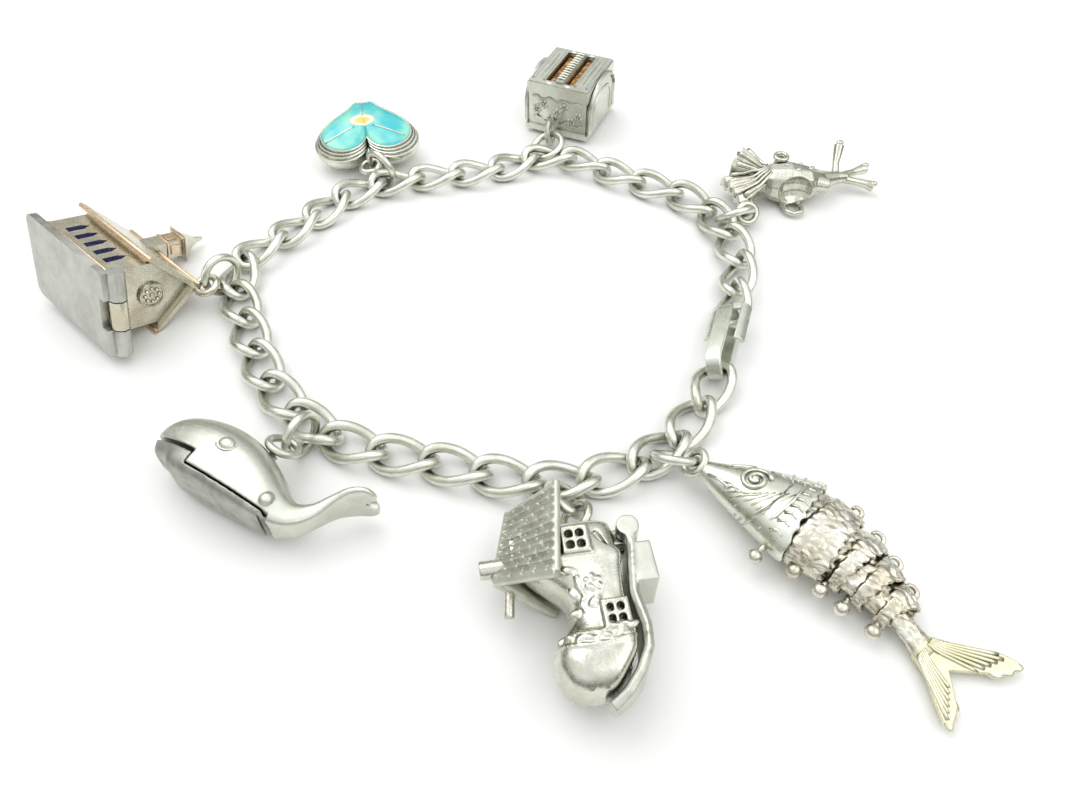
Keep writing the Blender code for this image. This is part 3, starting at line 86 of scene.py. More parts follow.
def ramp(tree, factor, *stops):
    """A colour ramp through stops of (position, hex colour), in rising order."""
    made = add(tree, "ShaderNodeValToRGB", {"Fac": factor})
    elements = made.color_ramp.elements
    for k, (position, tone) in enumerate(stops):
        stop = elements[k] if k < 2 else elements.new(position)
        stop.position = position
        stop.color = linear(tone)
    return made.outputs["Color"]


def stage_table():
    """The table top."""
    shape = bmesh.new()
    bmesh.ops.create_grid(shape, x_segments=1, y_segments=1, size=TABLE_REACH)
    mesh = bpy.data.meshes.new("table")
    shape.to_mesh(mesh)
    shape.free()
    # Matt white card: no gloss, so that only soft shadows show on it
    card, tree, shader = start_material("matt_white_card")
    shader.inputs["Base Color"].default_value = linear("#f3f3f1")
    shader.inputs["Roughness"].default_value = 0.9
    mesh.materials.append(card)
    table = bpy.data.objects.new("table", mesh)
    bpy.context.scene.collection.objects.link(table)


def hang_softbox(name, place, size, power):
    """One soft light that faces the bracelet."""
    lamp = bpy.data.lights.new(name, "AREA")
    lamp.size = size
    lamp.energy = power
    hung = bpy.data.objects.new(name, lamp)
    hung.location = place
    hung.rotation_euler = (-Vector(place)).to_track_quat("-Z", "Y").to_euler()
    bpy.context.scene.collection.objects.link(hung)


stage_table()
for softbox in SOFTBOXES:
    hang_softbox(*softbox)

world = bpy.data.worlds.new("soft_room")
bpy.context.scene.world = world
world.use_nodes = True
# A white room over a grey horizon, which gives polished metal its dark edges
sky = world.node_tree
height = add(sky, "ShaderNodeSeparateXYZ", {0: add(sky, "ShaderNodeTexCoord").outputs["Generated"]})
room = ramp(sky, height.outputs["Z"], (0.04, "#55524c"), (0.3, "#a5a6a2"), (0.62, "#f4f5f6"))
# Past the table's edge the room itself is plain and pale
camera_ray = add(sky, "ShaderNodeLightPath").outputs["Is Camera Ray"]
pale = add(sky, "ShaderNodeMix", {"Factor": camera_ray, "A": room, "B": linear("#eceded")},
           data_type="RGBA")
sky.links.new(pale.outputs["Result"], sky.nodes["Background"].inputs["Color"])
sky.nodes["Background"].inputs["Strength"].default_value = 1.12
bpy.context.scene.view_settings.view_transform = "Standard"

camera = bpy.data.objects.new("camera", bpy.data.cameras.new("camera"))
camera.data.lens = CAMERA_LENS
camera.data.clip_start = 0.005
camera.location = CAMERA_PLACE
camera.rotation_euler = (CAMERA_PITCH, 0.0, 0.0)
bpy.context.scene.collection.objects.link(camera)
bpy.context.scene.camera = camera


# The chain
# Curb links of drawn silver wire, each twisted a quarter turn end to end and soldered shut.
# Drawing leaves fine lines along the wire; wear polishes the outside, and the crossings are darkened with
# patina and painted shade.
LINK_WIRE = 1.2
LINK_PITCH = 6.0
LINK_PLAY = 0.15
LINK_WIDTH = 5.2
LINK_TWIST = math.radians(90.0)
LINK_FULLNESS = 0.85
LINK_COUNT = 32
# The round hoop that a link is pulled from, and how finely it is drawn
HOOP_RADIUS = 2.5
WIRE_STEPS = 44
WIRE_SIDES = 14


def in_millimetres(tree, middle=(0.0, 0.0)):
    """Object coordinates in millimetres, counted from a charm's middle."""
    where = add(tree, "ShaderNodeTexCoord").outputs["Object"]
    return add(tree, "ShaderNodeMapping", {"Vector": where, "Scale": (1 / MM,) * 3,
                                           "Location": (-middle[0], -middle[1], 0.0)}).outputs["Vector"]


def clouds(tree, where, scale, detail, roughness=0.5):
    """Soft noise over a surface."""
    return add(tree, "ShaderNodeTexNoise", {"Vector": where, "Scale": scale, "Detail": detail,
                                            "Roughness": roughness}).outputs["Fac"]


def remap(tree, value, low, high, to_low, to_high):
    """A value moved from one range to another."""
    return add(tree, "ShaderNodeMapRange", {"Value": value, "From Min": low, "From Max": high,
                                            "To Min": to_low, "To Max": to_high}).outputs["Result"]


def dress(tree, shader, colour, height, depth):
    """Give a shader its colour, and a relief of so many millimetres."""
    bump = add(tree, "ShaderNodeBump", {"Height": height, "Strength": 1.0, "Distance": depth * MM})
    tree.links.new(colour, shader.inputs["Base Color"])
    tree.links.new(bump.outputs["Normal"], shader.inputs["Normal"])


def silver_finish(name, bright, warm, patina_and_shade_tone, gloss, grain, depth, hollow=0.8, drawn=False, scale=1.0):
    """Sterling silver: tones that drift over a few millimetres, grain, and hollows darkened with patina and
    painted shade.

    grain is the size of the surface's bumps in millimetres and depth their height."""
    made, tree, shader = start_material(name)
    where = in_millimetres(tree)
    tone = ramp(tree, clouds(tree, where, 0.45 * scale, 5.0, 0.6), (0.36, warm), (0.62, bright))
    # Painted shade: an ambient occlusion mask lays the dark patina colour into hollows and between parts,
    # partly real patina and partly shade
    closeness = add(tree, "ShaderNodeAmbientOcclusion", {"Distance": hollow * MM}, samples=6)
    shade = remap(tree, closeness.outputs["AO"], 0.15, 0.8, 0.85, 0.0)
    speck = clouds(tree, where, 1.0 / grain, 4.0, 0.62)
    patina_and_shade_mask = add(tree, "ShaderNodeMath", {0: shade, 1: remap(tree, speck, 0.3, 0.7, 0.75, 1.1)},
                operation="MULTIPLY").outputs[0]
    colour = add(tree, "ShaderNodeMix", {"Factor": patina_and_shade_mask, "A": tone, "B": linear(patina_and_shade_tone)}, data_type="RGBA")
    height = speck
    if drawn:
        along = add(tree, "ShaderNodeAttribute", attribute_name="draw").outputs["Vector"]
        lines = add(tree, "ShaderNodeMapping", {"Vector": along, "Scale": (9.0, 9.0, 0.35)})
        height = clouds(tree, lines.outputs["Vector"], 1.0, 6.0, 0.7)
    dress(tree, shader, colour.outputs["Result"], height, depth)
    tree.links.new(remap(tree, height, 0.3, 0.7, gloss - 0.06, gloss + 0.12), shader.inputs["Roughness"])
    shader.inputs["Metallic"].default_value = 1.0
    return made


# Drawn silver wire: pale, half polished, with fine lines along the wire
drawn_silver = silver_finish("drawn_silver_wire", "#e6e8de", "#d2d1c2", "#4a463c", 0.24, 0.6, 0.035,
                             drawn=True)


def spread(name):
    """The middle of a wire node in millimetres, and its axes from the longest to the thinnest."""
    corners = np.array([corner.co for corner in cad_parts[name].data.vertices]) * 1000.0
    corners = np.unique(np.round(corners, 4), axis=0)
    middle = corners.mean(0)
    _, axes = np.linalg.eigh(np.cov((corners - middle).T))
    long, wide = Vector(axes[:, 2]), Vector(axes[:, 1])
    turn = Matrix((long, wide, long.cross(wide))).transposed()
    return Matrix.Translation(Vector(middle)) @ turn.to_4x4()


def wire_hoop(shape, radius, wire, steps=WIRE_STEPS, sides=WIRE_SIDES):
    """A round hoop of wire in the XY plane, with its draw lines noted along it."""
    draw = shape.verts.layers.float_vector.get("draw") or shape.verts.layers.float_vector.new("draw")
    before = set(shape.verts)
    upright = Matrix.Translation((radius, 0.0, 0.0)) @ Matrix.Rotation(math.pi / 2, 4, "X")
    bmesh.ops.create_circle(shape, segments=sides, radius=wire / 2, matrix=upright)
    section = [v for v in shape.verts if v not in before]
    edges = [e for e in shape.edges if e.verts[0] not in before and e.verts[1] not in before]
    bmesh.ops.spin(shape, geom=section + edges, axis=(0, 0, 1), cent=(0, 0, 0), angle=2 * math.pi,
                   steps=steps, use_merge=True, use_duplicate=False)
    made = [v for v in shape.verts if v not in before]
    for corner in made:
        out = math.hypot(corner.co.x, corner.co.y) - radius
        round_it = math.atan2(corner.co.z, out)
        way = math.atan2(corner.co.y, corner.co.x)
        corner[draw] = Vector((math.cos(round_it), math.sin(round_it), way * radius)) * wire / 2
    return made


def link_spot(angle):
    """The wire's middle in a link at an angle round it, and the twist there."""
    reach = (LINK_PITCH + LINK_WIRE + LINK_PLAY) / 2
    half = (LINK_WIDTH - LINK_WIRE) / 2
    along = reach * math.cos(angle)
    rise = math.sin(angle)
    across = half * math.copysign(abs(rise) ** LINK_FULLNESS, rise)
    twist = -LINK_TWIST * along / (2 * reach)
    return Vector((along, across * math.cos(twist), across * math.sin(twist))), twist


def twist_link(corners, radius):
    """Pull a round hoop into a link's long twisted oval."""
    for corner in corners:
        angle = math.atan2(corner.co.y, corner.co.x)
        out = math.hypot(corner.co.x, corner.co.y) - radius
        middle, twist = link_spot(angle)
        course = (link_spot(angle + 0.02)[0] - link_spot(angle - 0.02)[0]).normalized()
        flat = Vector((0.0, -math.sin(twist), math.cos(twist)))
        outward = course.cross(flat).normalized()
        corner.co = middle + outward * out + outward.cross(course) * corner.co.z


def finish_piece(name, shape, matrix, finish, body="bracelet", replaces=(),
                 sharp=40.0, levels=0, bevel=0.0):
    """Put a shape in its place as a piece of the bracelet."""
    bmesh.ops.recalc_face_normals(shape, faces=shape.faces)
    bmesh.ops.transform(shape, matrix=Matrix.Scale(MM, 4) @ matrix, verts=shape.verts)
    mesh = bpy.data.meshes.new(name)
    shape.to_mesh(mesh)
    shape.free()
    mesh.materials.append(finish)
    made = bpy.data.objects.new(name, mesh)
    bpy.context.scene.collection.objects.link(made)
    mesh.shade_smooth()
    if bevel:
        rounding = made.modifiers.new("worn_edges", "BEVEL")
        rounding.width = bevel * MM
        rounding.segments = 2
        rounding.limit_method = "ANGLE"
        rounding.angle_limit = math.radians(sharp)
    if levels:
        smoothing = made.modifiers.new("smoothing", "SUBSURF")
        smoothing.levels = levels
        smoothing.render_levels = levels
    elif sharp:
        mesh.set_sharp_from_angle(angle=math.radians(sharp))
    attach(made, body)
    if replaces:
        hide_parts(*replaces)
    return made


for number in range(1, LINK_COUNT + 1):
    node_name = f"link_{number:02d}"
    link = bmesh.new()
    twist_link(wire_hoop(link, HOOP_RADIUS, LINK_WIRE), HOOP_RADIUS)
    finish_piece(f"{node_name}_wire", link, spread(node_name), drawn_silver, replaces=[node_name],
                 levels=1)


# The jump rings
# Plain rings of thinner round wire, closed without solder, each through one link and the
# small cast loop of its charm.
RING_WIRE = 1.0
RING_RADIUS = 2.35
RING_NAMES = ("shoe", "whale", "church", "heart", "toaster", "figure", "fish")

for charm in RING_NAMES:
    ring = bmesh.new()
    wire_hoop(ring, RING_RADIUS, RING_WIRE)
    finish_piece(f"ring_{charm}_wire", ring, spread(f"ring_{charm}"), drawn_silver,
                 replaces=[f"ring_{charm}"], levels=1)


# The clasp
# A long loop bent from flat silver strip, with a wing folded down on each side of one end.
# Rolled strip takes a satin finish with broad, flat reflections and crisp edges.
CLASP_PLACE = (29.088, -7.1145, -108.14, 25.0)
CLASP_LENGTH = 11.2
CLASP_OPENING = 2.9
STRIP_WIDTH = 1.8
STRIP_THICKNESS = 0.55
CLASP_BEND_STEPS = 12
WING_THICKNESS = 0.44
# Wings: side, distance of the root from the strip's middle, start, end, then how the sheet
# runs from its root, in turns of so many degrees over so many millimetres
CLASP_WINGS = [
    (-1, 0.7, -3.9, 0.6, ((0.0, 0.3), (15.0, 0.5), (40.0, 0.9))),
    (1, 0.8, -4.9, -3.9, ((0.0, 0.8), (10.0, 0.6))),
    (1, 1.9, -4.9, 1.2, ((20.0, 0.4), (45.0, 0.5), (65.0, 0.7))),
]


def lay(east, north, heading, tip=0.0, lift=0.0):
    """The matrix of a charm that lies on the table, from its own millimetres."""
    turn = Matrix.Rotation(math.radians(heading), 4, "Z") @ Matrix.Rotation(math.radians(tip), 4, "X")
    return Matrix.Translation((east, north, lift)) @ turn


def grow(shape, edges):
    """Extrude a run of edges: the new corners and the new edges between them."""
    grown = bmesh.ops.extrude_edge_only(shape, edges=edges)["geom"]
    corners = [v for v in grown if isinstance(v, bmesh.types.BMVert)]
    kept = set(corners)
    return corners, [e for e in grown if isinstance(e, bmesh.types.BMEdge)
                     and e.verts[0] in kept and e.verts[1] in kept]


def sweep(shape, places, outline, closed=False):
    """Carry an outline of (side, rise) corners along places of (middle, side, rise)."""
    first = []
    for out, up in outline:
        first.append(shape.verts.new(places[0][0] + places[0][1] * out + places[0][2] * up))
    edges = [shape.edges.new((first[k], first[(k + 1) % len(first)])) for k in range(len(first))]
    start = list(edges)
    for middle, side, rise in places[1:]:
        corners, edges = grow(shape, edges)
        for corner, (out, up) in zip(corners, outline):
            corner.co = middle + side * out + rise * up
    if closed:
        bmesh.ops.bridge_loops(shape, edges=start + edges)
    else:
        bmesh.ops.contextual_create(shape, geom=start)
        bmesh.ops.contextual_create(shape, geom=edges)


def clasp_strip():
    """The strip, bent into a long loop on edge."""
    rise = (CLASP_OPENING + STRIP_THICKNESS) / 2
    straight = CLASP_LENGTH / 2 - STRIP_THICKNESS / 2 - rise
    places = []
    for end in (1, -1):
        for step in range(CLASP_BEND_STEPS + 1):
            angle = math.pi * (step / CLASP_BEND_STEPS - 0.5)
            out = Vector((math.cos(angle) * end, 0.0, math.sin(angle) * end))
            places.append((Vector((straight * end, 0.0, 0.0)) + out * rise, out, Vector((0.0, 1.0, 0.0))))
    shape = bmesh.new()
    half, edge = STRIP_THICKNESS / 2, STRIP_WIDTH / 2
    sweep(shape, places, [(half, edge), (half, -edge), (-half, -edge), (-half, edge)], closed=True)
    return shape


def clasp_wing(shape, side, root, start, end, bends):
    """One wing: sheet that runs out from the strip's top face and folds down."""
    top = (CLASP_OPENING + STRIP_THICKNESS) / 2
    spot = Vector((0.0, side * root, top))
    line = [spot.copy()]
    for fall, run in bends:
        fall = math.radians(fall)
        spot = spot + Vector((0.0, side * math.cos(fall), -math.sin(fall))) * run
        line.append(spot.copy())
    corners = [shape.verts.new(point + Vector((start, 0.0, 0.0))) for point in line]
    edges = [shape.edges.new(pair) for pair in zip(corners, corners[1:])]
    grown = bmesh.ops.extrude_edge_only(shape, edges=edges)["geom"]
    bmesh.ops.translate(shape, vec=(end - start, 0.0, 0.0),
                        verts=[v for v in grown if isinstance(v, bmesh.types.BMVert)])
    faces = [f for f in grown if isinstance(f, bmesh.types.BMFace)]
    bmesh.ops.recalc_face_normals(shape, faces=faces)
    bmesh.ops.solidify(shape, geom=faces, thickness=WING_THICKNESS)


# Rolled silver strip: flat satin with a green-grey cast and clear edges
strip_silver = silver_finish("rolled_silver_strip", "#e0e6da", "#d2d6c8", "#4d4a40", 0.3, 0.25, 0.012)
clasp = clasp_strip()
for wing in CLASP_WINGS:
    clasp_wing(clasp, *wing)
# Its lowest wing rests on the table
lowest = min((lay(*CLASP_PLACE) @ v.co).z for v in clasp.verts)
finish_piece("clasp_strip", clasp, lay(*CLASP_PLACE, lift=-lowest), strip_silver, replaces=["clasp"],
             bevel=0.12)


# The church
# A cast silver church on its side, with a hinged plate for a floor and blue enamel behind
# five pointed windows.  The casting is satin, the plate rolled and stained by handling.
CHURCH = lay(-48.1549, -1.1951, -41.3, tip=-108.0, lift=6.6199)
CHURCH_ROSE_MIDDLE = Vector((7.3, 0.0, 5.6))
CHURCH_ROSE_RADIUS = 1.45
CHURCH_ROSE_WIRE = 0.3
CHURCH_ROSE_BEADS = 8
CHURCH_BEAD_REACH = 0.86
CHURCH_TOWER = Vector((-2.4, 0.0, 0.0))
# Mouldings along each side, then along the ridge: half length, distance out, height, radius
CHURCH_LINES = [(7.9, 5.0, 5.55, 0.34), (6.7, 4.15, 5.75, 0.3), (6.9, 4.12, 1.05, 0.16)]
CHURCH_RIDGE_LINE = (7.9, 0.0, 11.45, 0.3)
# Bands round the tower: height, half width
CHURCH_BANDS = [(12.6, 1.3), (14.7, 1.45)]
CHURCH_BAND_HEIGHT = 0.3
# The tower's louvres: height of the middle, distance out, half width, half height, half depth
CHURCH_LOUVRE = (13.7, 1.15, 0.62, 0.62, 0.12)
SMALL_LOOP_RADIUS = 1.3
SMALL_LOOP_WIRE = 0.86


def packed_shape(name, matrix):
    """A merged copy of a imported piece, in its charm's own millimetres."""
    shape = bmesh.new()
    shape.from_mesh(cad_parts[name].data)
    bmesh.ops.remove_doubles(shape, verts=shape.verts, dist=0.000001)
    bmesh.ops.dissolve_limit(shape, angle_limit=math.radians(1.0), verts=shape.verts, edges=shape.edges)
    bmesh.ops.transform(shape, matrix=(Matrix.Scale(MM, 4) @ matrix).inverted(), verts=shape.verts)
    return shape


def block(shape, low, high, matrix=None):
    """A box between two corners."""
    low, high = Vector(low), Vector(high)
    place = Matrix.Translation((low + high) / 2) @ Matrix.Diagonal((*(high - low), 1.0))
    return bmesh.ops.create_cube(shape, size=1.0, matrix=(matrix or Matrix()) @ place)["verts"]


def rod(shape, start, end, radius, end_radius=None, sides=20):
    """A cylinder or cone between two points."""
    start, end = Vector(start), Vector(end)
    course = end - start
    place = Matrix.Translation((start + end) / 2) @ course.to_track_quat("Z", "Y").to_matrix().to_4x4()
    bmesh.ops.create_cone(shape, cap_ends=True, segments=sides, radius1=radius,
                          radius2=radius if end_radius is None else end_radius,
                          depth=course.length, matrix=place)


def pearl(shape, middle, radii, around=16, rows=10, matrix=None):
    """A ball or an egg."""
    place = Matrix.Translation(Vector(middle)) @ (matrix or Matrix()) @ Matrix.Diagonal((*radii, 1.0))
    bmesh.ops.create_uvsphere(shape, u_segments=around, v_segments=rows, radius=1.0, matrix=place)


def tube(shape, points, radius, sides=10, closed=False, end_radius=None):
    """A round wire through the points, tapered when it has an end radius."""
    points = [Vector(p) for p in points]
    count = len(points)
    rise = None
    places = []
    for k, here in enumerate(points):
        before = points[k - 1] if k or closed else here
        after = points[(k + 1) % count] if k < count - 1 or closed else here
        course = (after - before).normalized()
        if rise is None:
            rise = course.orthogonal().normalized()
        side = course.cross(rise).normalized()
        rise = side.cross(course).normalized()
        share = k / max(count - 1, 1)
        size = radius + ((end_radius or radius) - radius) * share
        places.append((here, side * size, rise * size))
    round_outline = [(math.cos(2 * math.pi * k / sides), math.sin(2 * math.pi * k / sides))
                     for k in range(sides)]
    sweep(shape, places, round_outline, closed)


def eyelet(shape, middle, axis, radius=SMALL_LOOP_RADIUS, wire=SMALL_LOOP_WIRE):
    """The smooth cast loop of a charm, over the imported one."""
    hoop = wire_hoop(shape, radius, wire, steps=36, sides=12)
    turn = Vector(axis).to_track_quat("Z", "Y").to_matrix().to_4x4()
    bmesh.ops.transform(shape, matrix=Matrix.Translation(Vector(middle)) @ turn, verts=hoop)


def church_rosette(shape):
    """The round window in the gable: a rim, eight beads and a boss."""
    rim = wire_hoop(shape, CHURCH_ROSE_RADIUS, CHURCH_ROSE_WIRE, steps=32, sides=8)
    turn = Matrix.Translation(CHURCH_ROSE_MIDDLE) @ Matrix.Rotation(math.pi / 2, 4, "Y")
    bmesh.ops.transform(shape, matrix=turn, verts=rim)
    pearl(shape, CHURCH_ROSE_MIDDLE, (0.25, 0.34, 0.34))
    for k in range(CHURCH_ROSE_BEADS):
        angle = 2 * math.pi * k / CHURCH_ROSE_BEADS
        spot = Vector((0.0, math.cos(angle), math.sin(angle))) * CHURCH_BEAD_REACH
        pearl(shape, CHURCH_ROSE_MIDDLE + spot, (0.28, 0.27, 0.27), 10, 8)


def church_mouldings():
    """Lines along the eaves, walls and ridge, and the tower's bands and louvres."""
    shape = bmesh.new()
    lines = [(half, side * out, up, radius) for side in (-1, 1) for half, out, up, radius in CHURCH_LINES]
    for half, out, up, radius in [*lines, CHURCH_RIDGE_LINE]:
        tube(shape, [(-half, out, up), (half, out, up)], radius)
    for level, half in CHURCH_BANDS:
        low = CHURCH_TOWER + Vector((-half, -half, level))
        block(shape, low, low + Vector((2 * half, 2 * half, CHURCH_BAND_HEIGHT)))
    level, out, wide, high, deep = CHURCH_LOUVRE
    for sx, sy in ((1, 0), (-1, 0), (0, 1), (0, -1)):
        face = CHURCH_TOWER + Vector((sx * out, sy * out, level))
        across = Vector((wide, deep, high) if sy else (deep, wide, high))
        block(shape, face - across, face + across)
    return shape


# Cast silver, tumbled and grey in its hollows with patina and painted shade; a warm blush where flux has
# tinted it
church_silver = silver_finish("cast_silver_satin", "#dedccd", "#cbc2ac", "#40392d", 0.25, 0.18, 0.012,
                              hollow=0.8)
# Rolled plate: even satin with faint stains and handling marks, and patina and painted shade in its hollows
plate_silver = silver_finish("rolled_silver_plate", "#c6c7c0", "#b8b7af", "#57534a", 0.33, 0.9, 0.006,
                             hollow=0.5, scale=0.7)
# Bright cast silver for the heart's shell and the fish's head: the wire's look without its lines
cast_wire_silver = silver_finish("cast_silver_bright", "#e6e9de", "#d3d2c2", "#46423a", 0.27, 0.5, 0.008)

church = packed_shape("church_body", CHURCH)
church_rosette(church)
eyelet(church, (8.4, 0.0, 12.1), (0.01, 0.84, 0.54))
finish_piece("church_casting", church, CHURCH, church_silver, replaces=["church_body"], bevel=0.08,
             sharp=30.0)
# The mouldings keep a rosy gilt blush from the soldering
blush_silver = silver_finish("silver_rosy_blush", "#efd9bd", "#dfc6a2", "#5d4630", 0.28, 0.3, 0.012)
finish_piece("church_mouldings", church_mouldings(), CHURCH, blush_silver, bevel=0.05, sharp=30.0)
plate = packed_shape("church_base", CHURCH)
finish_piece("church_plate", plate, CHURCH, plate_silver, body="church_base",
             replaces=["church_base"], bevel=0.14, sharp=30.0)


def glaze(shader, gloss, coat=0.6, coat_gloss=0.08):
    """The smooth surface of fused glass under its own clear skin."""
    shader.inputs["Roughness"].default_value = gloss
    shader.inputs["Coat Weight"].default_value = coat
    shader.inputs["Coat Roughness"].default_value = coat_gloss


def enamel_finish(name, deep, pale, gloss):
    """Fused glass over silver: clear colour that pools darker, under a wet-looking surface."""
    made, tree, shader = start_material(name)
    pool = clouds(tree, in_millimetres(tree), 0.9, 3.0)
    dress(tree, shader, ramp(tree, pool, (0.4, deep), (0.65, pale)), pool, 0.04)
    glaze(shader, gloss)
    return made


# Cobalt enamel: deep blue glass in the windows
cobalt = enamel_finish("cobalt_glass_enamel", "#262d9c", "#4650c4", 0.2)
glass_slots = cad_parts["church_enamel"].data.materials
glass_slots.clear()
glass_slots.append(cobalt)


# The whale
# A smooth cast whale, hollow, with a flat belly that opens on a pin near the tail.  Handling
# has polished the back; the belly is a satin face, coloured darker and greyer.
WHALE = lay(-23.2361, -30.2339, -30.4)
WHALE_SIDE = 3.5
# Rows: x, y, half width toward the back, half thickness
WHALE_ROWS = [
    (-11.0, 0.9, 0.5, 0.8), (-10.5, 1.2, 1.7, 1.9), (-8.6, 2.4, 3.3, 2.9), (-5.5, 2.8, 3.9, 3.5),
    (-2.0, 2.7, 3.8, 3.5), (1.5, 2.0, 3.1, 3.1), (4.5, 1.3, 2.2, 2.4), (6.6, 1.5, 1.6, 1.7),
    (8.1, 2.9, 1.0, 1.3), (9.2, 4.7, 0.7, 1.7), (10.4, 6.1, 0.6, 2.3), (11.8, 6.9, 0.5, 2.4),
    (12.7, 7.1, 0.35, 1.7),
]
WHALE_ROOM = ((-0.6, 0.9, 3.5), (4.4, 3.9, 2.2))
# The parting line's step and the hinge ear's slot in the back, then the belly: boxes' corners
WHALE_CUTS = [((-20, -9, -2), (5.4, 0.08, 9)), ((-20, -9, -2), (-5.0, 1.6, 9)),
              ((2.6, -1, 2.35), (5.55, 1.75, 4.65))]
WHALE_BELLY = [((-5.2, -9, -2), (5.0, -0.1, 9)), ((-20, -9, -2), (-5.1, 1.2, 9))]
# Places on the whale's plan
WHALE_PIN = (4.4, 0.6)
WHALE_RIVET = (4.4, 1.1)
WHALE_EYE = (-2.9, 3.7)
CAST_VOXEL = 0.12
UP = Vector((0.0, 0.0, 1.0))


def smooth_rows(rows, steps):
    """Rows of numbers, with steps eased in between each pair."""
    rows = [Vector(row) for row in rows]
    ends = [rows[0] * 2 - rows[1], *rows, rows[-1] * 2 - rows[-2]]
    eased = []
    for k in range(1, len(ends) - 2):
        before, here, after, beyond = ends[k - 1:k + 3]
        for step in range(steps):
            t = step / steps
            eased.append((here * 2 + (after - before) * t
                          + (before * 2 - here * 5 + after * 4 - beyond) * t ** 2
                          + (here * 3 - before - after * 3 + beyond) * t ** 3) * 0.5)
    return eased + [rows[-1]]


def body_places(rows, steps=5):
    """Rings along rows of x, y, z, half width and half thickness."""
    rows = smooth_rows(rows, steps)
    places = []
    for k, row in enumerate(rows):
        before, after = rows[max(k - 1, 0)], rows[min(k + 1, len(rows) - 1)]
        side = UP.cross(Vector(after[:3]) - Vector(before[:3])).normalized()
        places.append((Vector(row[:3]), side * max(row[3], 0.05), UP * max(row[4], 0.05)))
    return places


def soft_outline(count, high, low):
    """A round outline, squarer where its fullness is under one, on its high and low halves."""
    corners = []
    for k in range(count):
        angle = 2 * math.pi * (k + 0.5) / count
        out, up = math.cos(angle), math.sin(angle)
        fullness = high if out > 0 else low
        corners.append((math.copysign(abs(out) ** fullness, out), math.copysign(abs(up) ** fullness, up)))
    return corners


def blank(shape):
    """A bare object to cut or cast."""
    bmesh.ops.recalc_face_normals(shape, faces=shape.faces)
    mesh = bpy.data.meshes.new("blank")
    shape.to_mesh(mesh)
    shape.free()
    made = bpy.data.objects.new("blank", mesh)
    bpy.context.scene.collection.objects.link(made)
    return made


def settle(work, *tools):
    """The shape a blank has once its modifiers are done."""
    done = work.evaluated_get(bpy.context.evaluated_depsgraph_get()).to_mesh()
    shape = bmesh.new()
    shape.from_mesh(done)
    for used in (work, *tools):
        mesh = used.data
        bpy.data.objects.remove(used)
        bpy.data.meshes.remove(mesh)
    return shape


def carve(shape, tool, operation="DIFFERENCE"):
    """Cut one closed shape with another."""
    work, cutter = blank(shape), blank(tool)
    step = work.modifiers.new("cut", "BOOLEAN")
    step.operation = operation
    step.solver = "EXACT"
    step.use_self = True
    step.object = cutter
    return settle(work, cutter)


def cast(shape, voxel=CAST_VOXEL, rounds=5):
    """Run overlapping solids together with the soft edges of a casting."""
    work = blank(shape)
    pour = work.modifiers.new("pour", "REMESH")
    pour.mode = "VOXEL"
    pour.voxel_size = voxel
    tumble = work.modifiers.new("tumble", "SMOOTH")
    tumble.factor = 0.5
    tumble.iterations = rounds
    return settle(work)


def whale_hull():
    """The whole whale before it is parted and hollowed."""
    shape = bmesh.new()
    sweep(shape, body_places([(x, y, WHALE_SIDE, w, h) for x, y, w, h in WHALE_ROWS]),
          soft_outline(44, 0.9, 0.45))
    return shape


def blocks(*corners):
    """Several boxes."""
    shape = bmesh.new()
    for low, high in corners:
        block(shape, low, high)
    return shape


# Cast silver rubbed smooth by handling: soft wide highlights, and its seams a little darker with patina and
# painted shade
worn_silver = silver_finish("cast_silver_rubbed", "#d6d9cd", "#cacbbf", "#3f3b34", 0.37, 0.35, 0.008,
                            hollow=0.9)
# The belly's flat is satin, coloured greyer and darker, with fine pits
belly_silver = silver_finish("cast_silver_matt", "#b9bab2", "#9d9d95", "#44413a", 0.42, 0.16, 0.03,
                             hollow=0.6, scale=1.4)

room = bmesh.new()
pearl(room, *WHALE_ROOM, around=32, rows=20)
whale = carve(whale_hull(), room)
for cut in WHALE_CUTS:
    whale = carve(whale, blocks(cut))
notch = bmesh.new()
rod(notch, (11.4, 6.6, 3.5), (14.6, 7.4, 3.5), 0.05, 1.9, 12)
whale = carve(whale, notch)
rod(whale, (*WHALE_PIN, 1.6), (*WHALE_PIN, 5.4), 0.35)
rod(whale, (*WHALE_RIVET, 4.5), (*WHALE_RIVET, 6.15), 0.72, 0.66)
pearl(whale, (*WHALE_RIVET, 6.1), (0.68, 0.68, 0.32))
whale = cast(whale)
eye_ring = wire_hoop(whale, 1.12, 0.24, steps=28, sides=8)
bmesh.ops.transform(whale, verts=eye_ring, matrix=Matrix.Translation((*WHALE_EYE, 6.82))
                    @ Matrix.Rotation(math.radians(-15.0), 4, "X") @ Matrix.Diagonal((1.0, 0.82, 1.0, 1.0)))
pearl(whale, (*WHALE_EYE, 6.78), (1.0, 0.8, 0.5))
eyelet(whale, (0.03, 7.68, 3.68), (0.15, 0.62, 0.77), radius=1.6)
rod(whale, (-0.6, 5.2, 3.5), (-0.1, 6.4, 3.6), 0.75, 0.5)
finish_piece("whale_casting", whale, WHALE, worn_silver, replaces=["whale_body"], sharp=0)

belly = carve(whale_hull(), blocks(*WHALE_BELLY), "INTERSECT")
slope = bmesh.new()
block(slope, (0.0, -0.5, -9), (3.0, 0.5, 9),
      Matrix.Translation((4.72, -0.1, 0)) @ Matrix.Rotation(math.radians(-45.0), 4, "Z"))
belly = carve(belly, slope)
rod(belly, (*WHALE_PIN, 2.5), (*WHALE_PIN, 4.5), 0.9)
block(belly, (2.9, -0.9, 2.5), (4.4, 0.7, 4.5))
belly = cast(belly)
finish_piece("whale_belly_casting", belly, WHALE, belly_silver, body="whale_belly",
             replaces=["whale_belly"], sharp=0)


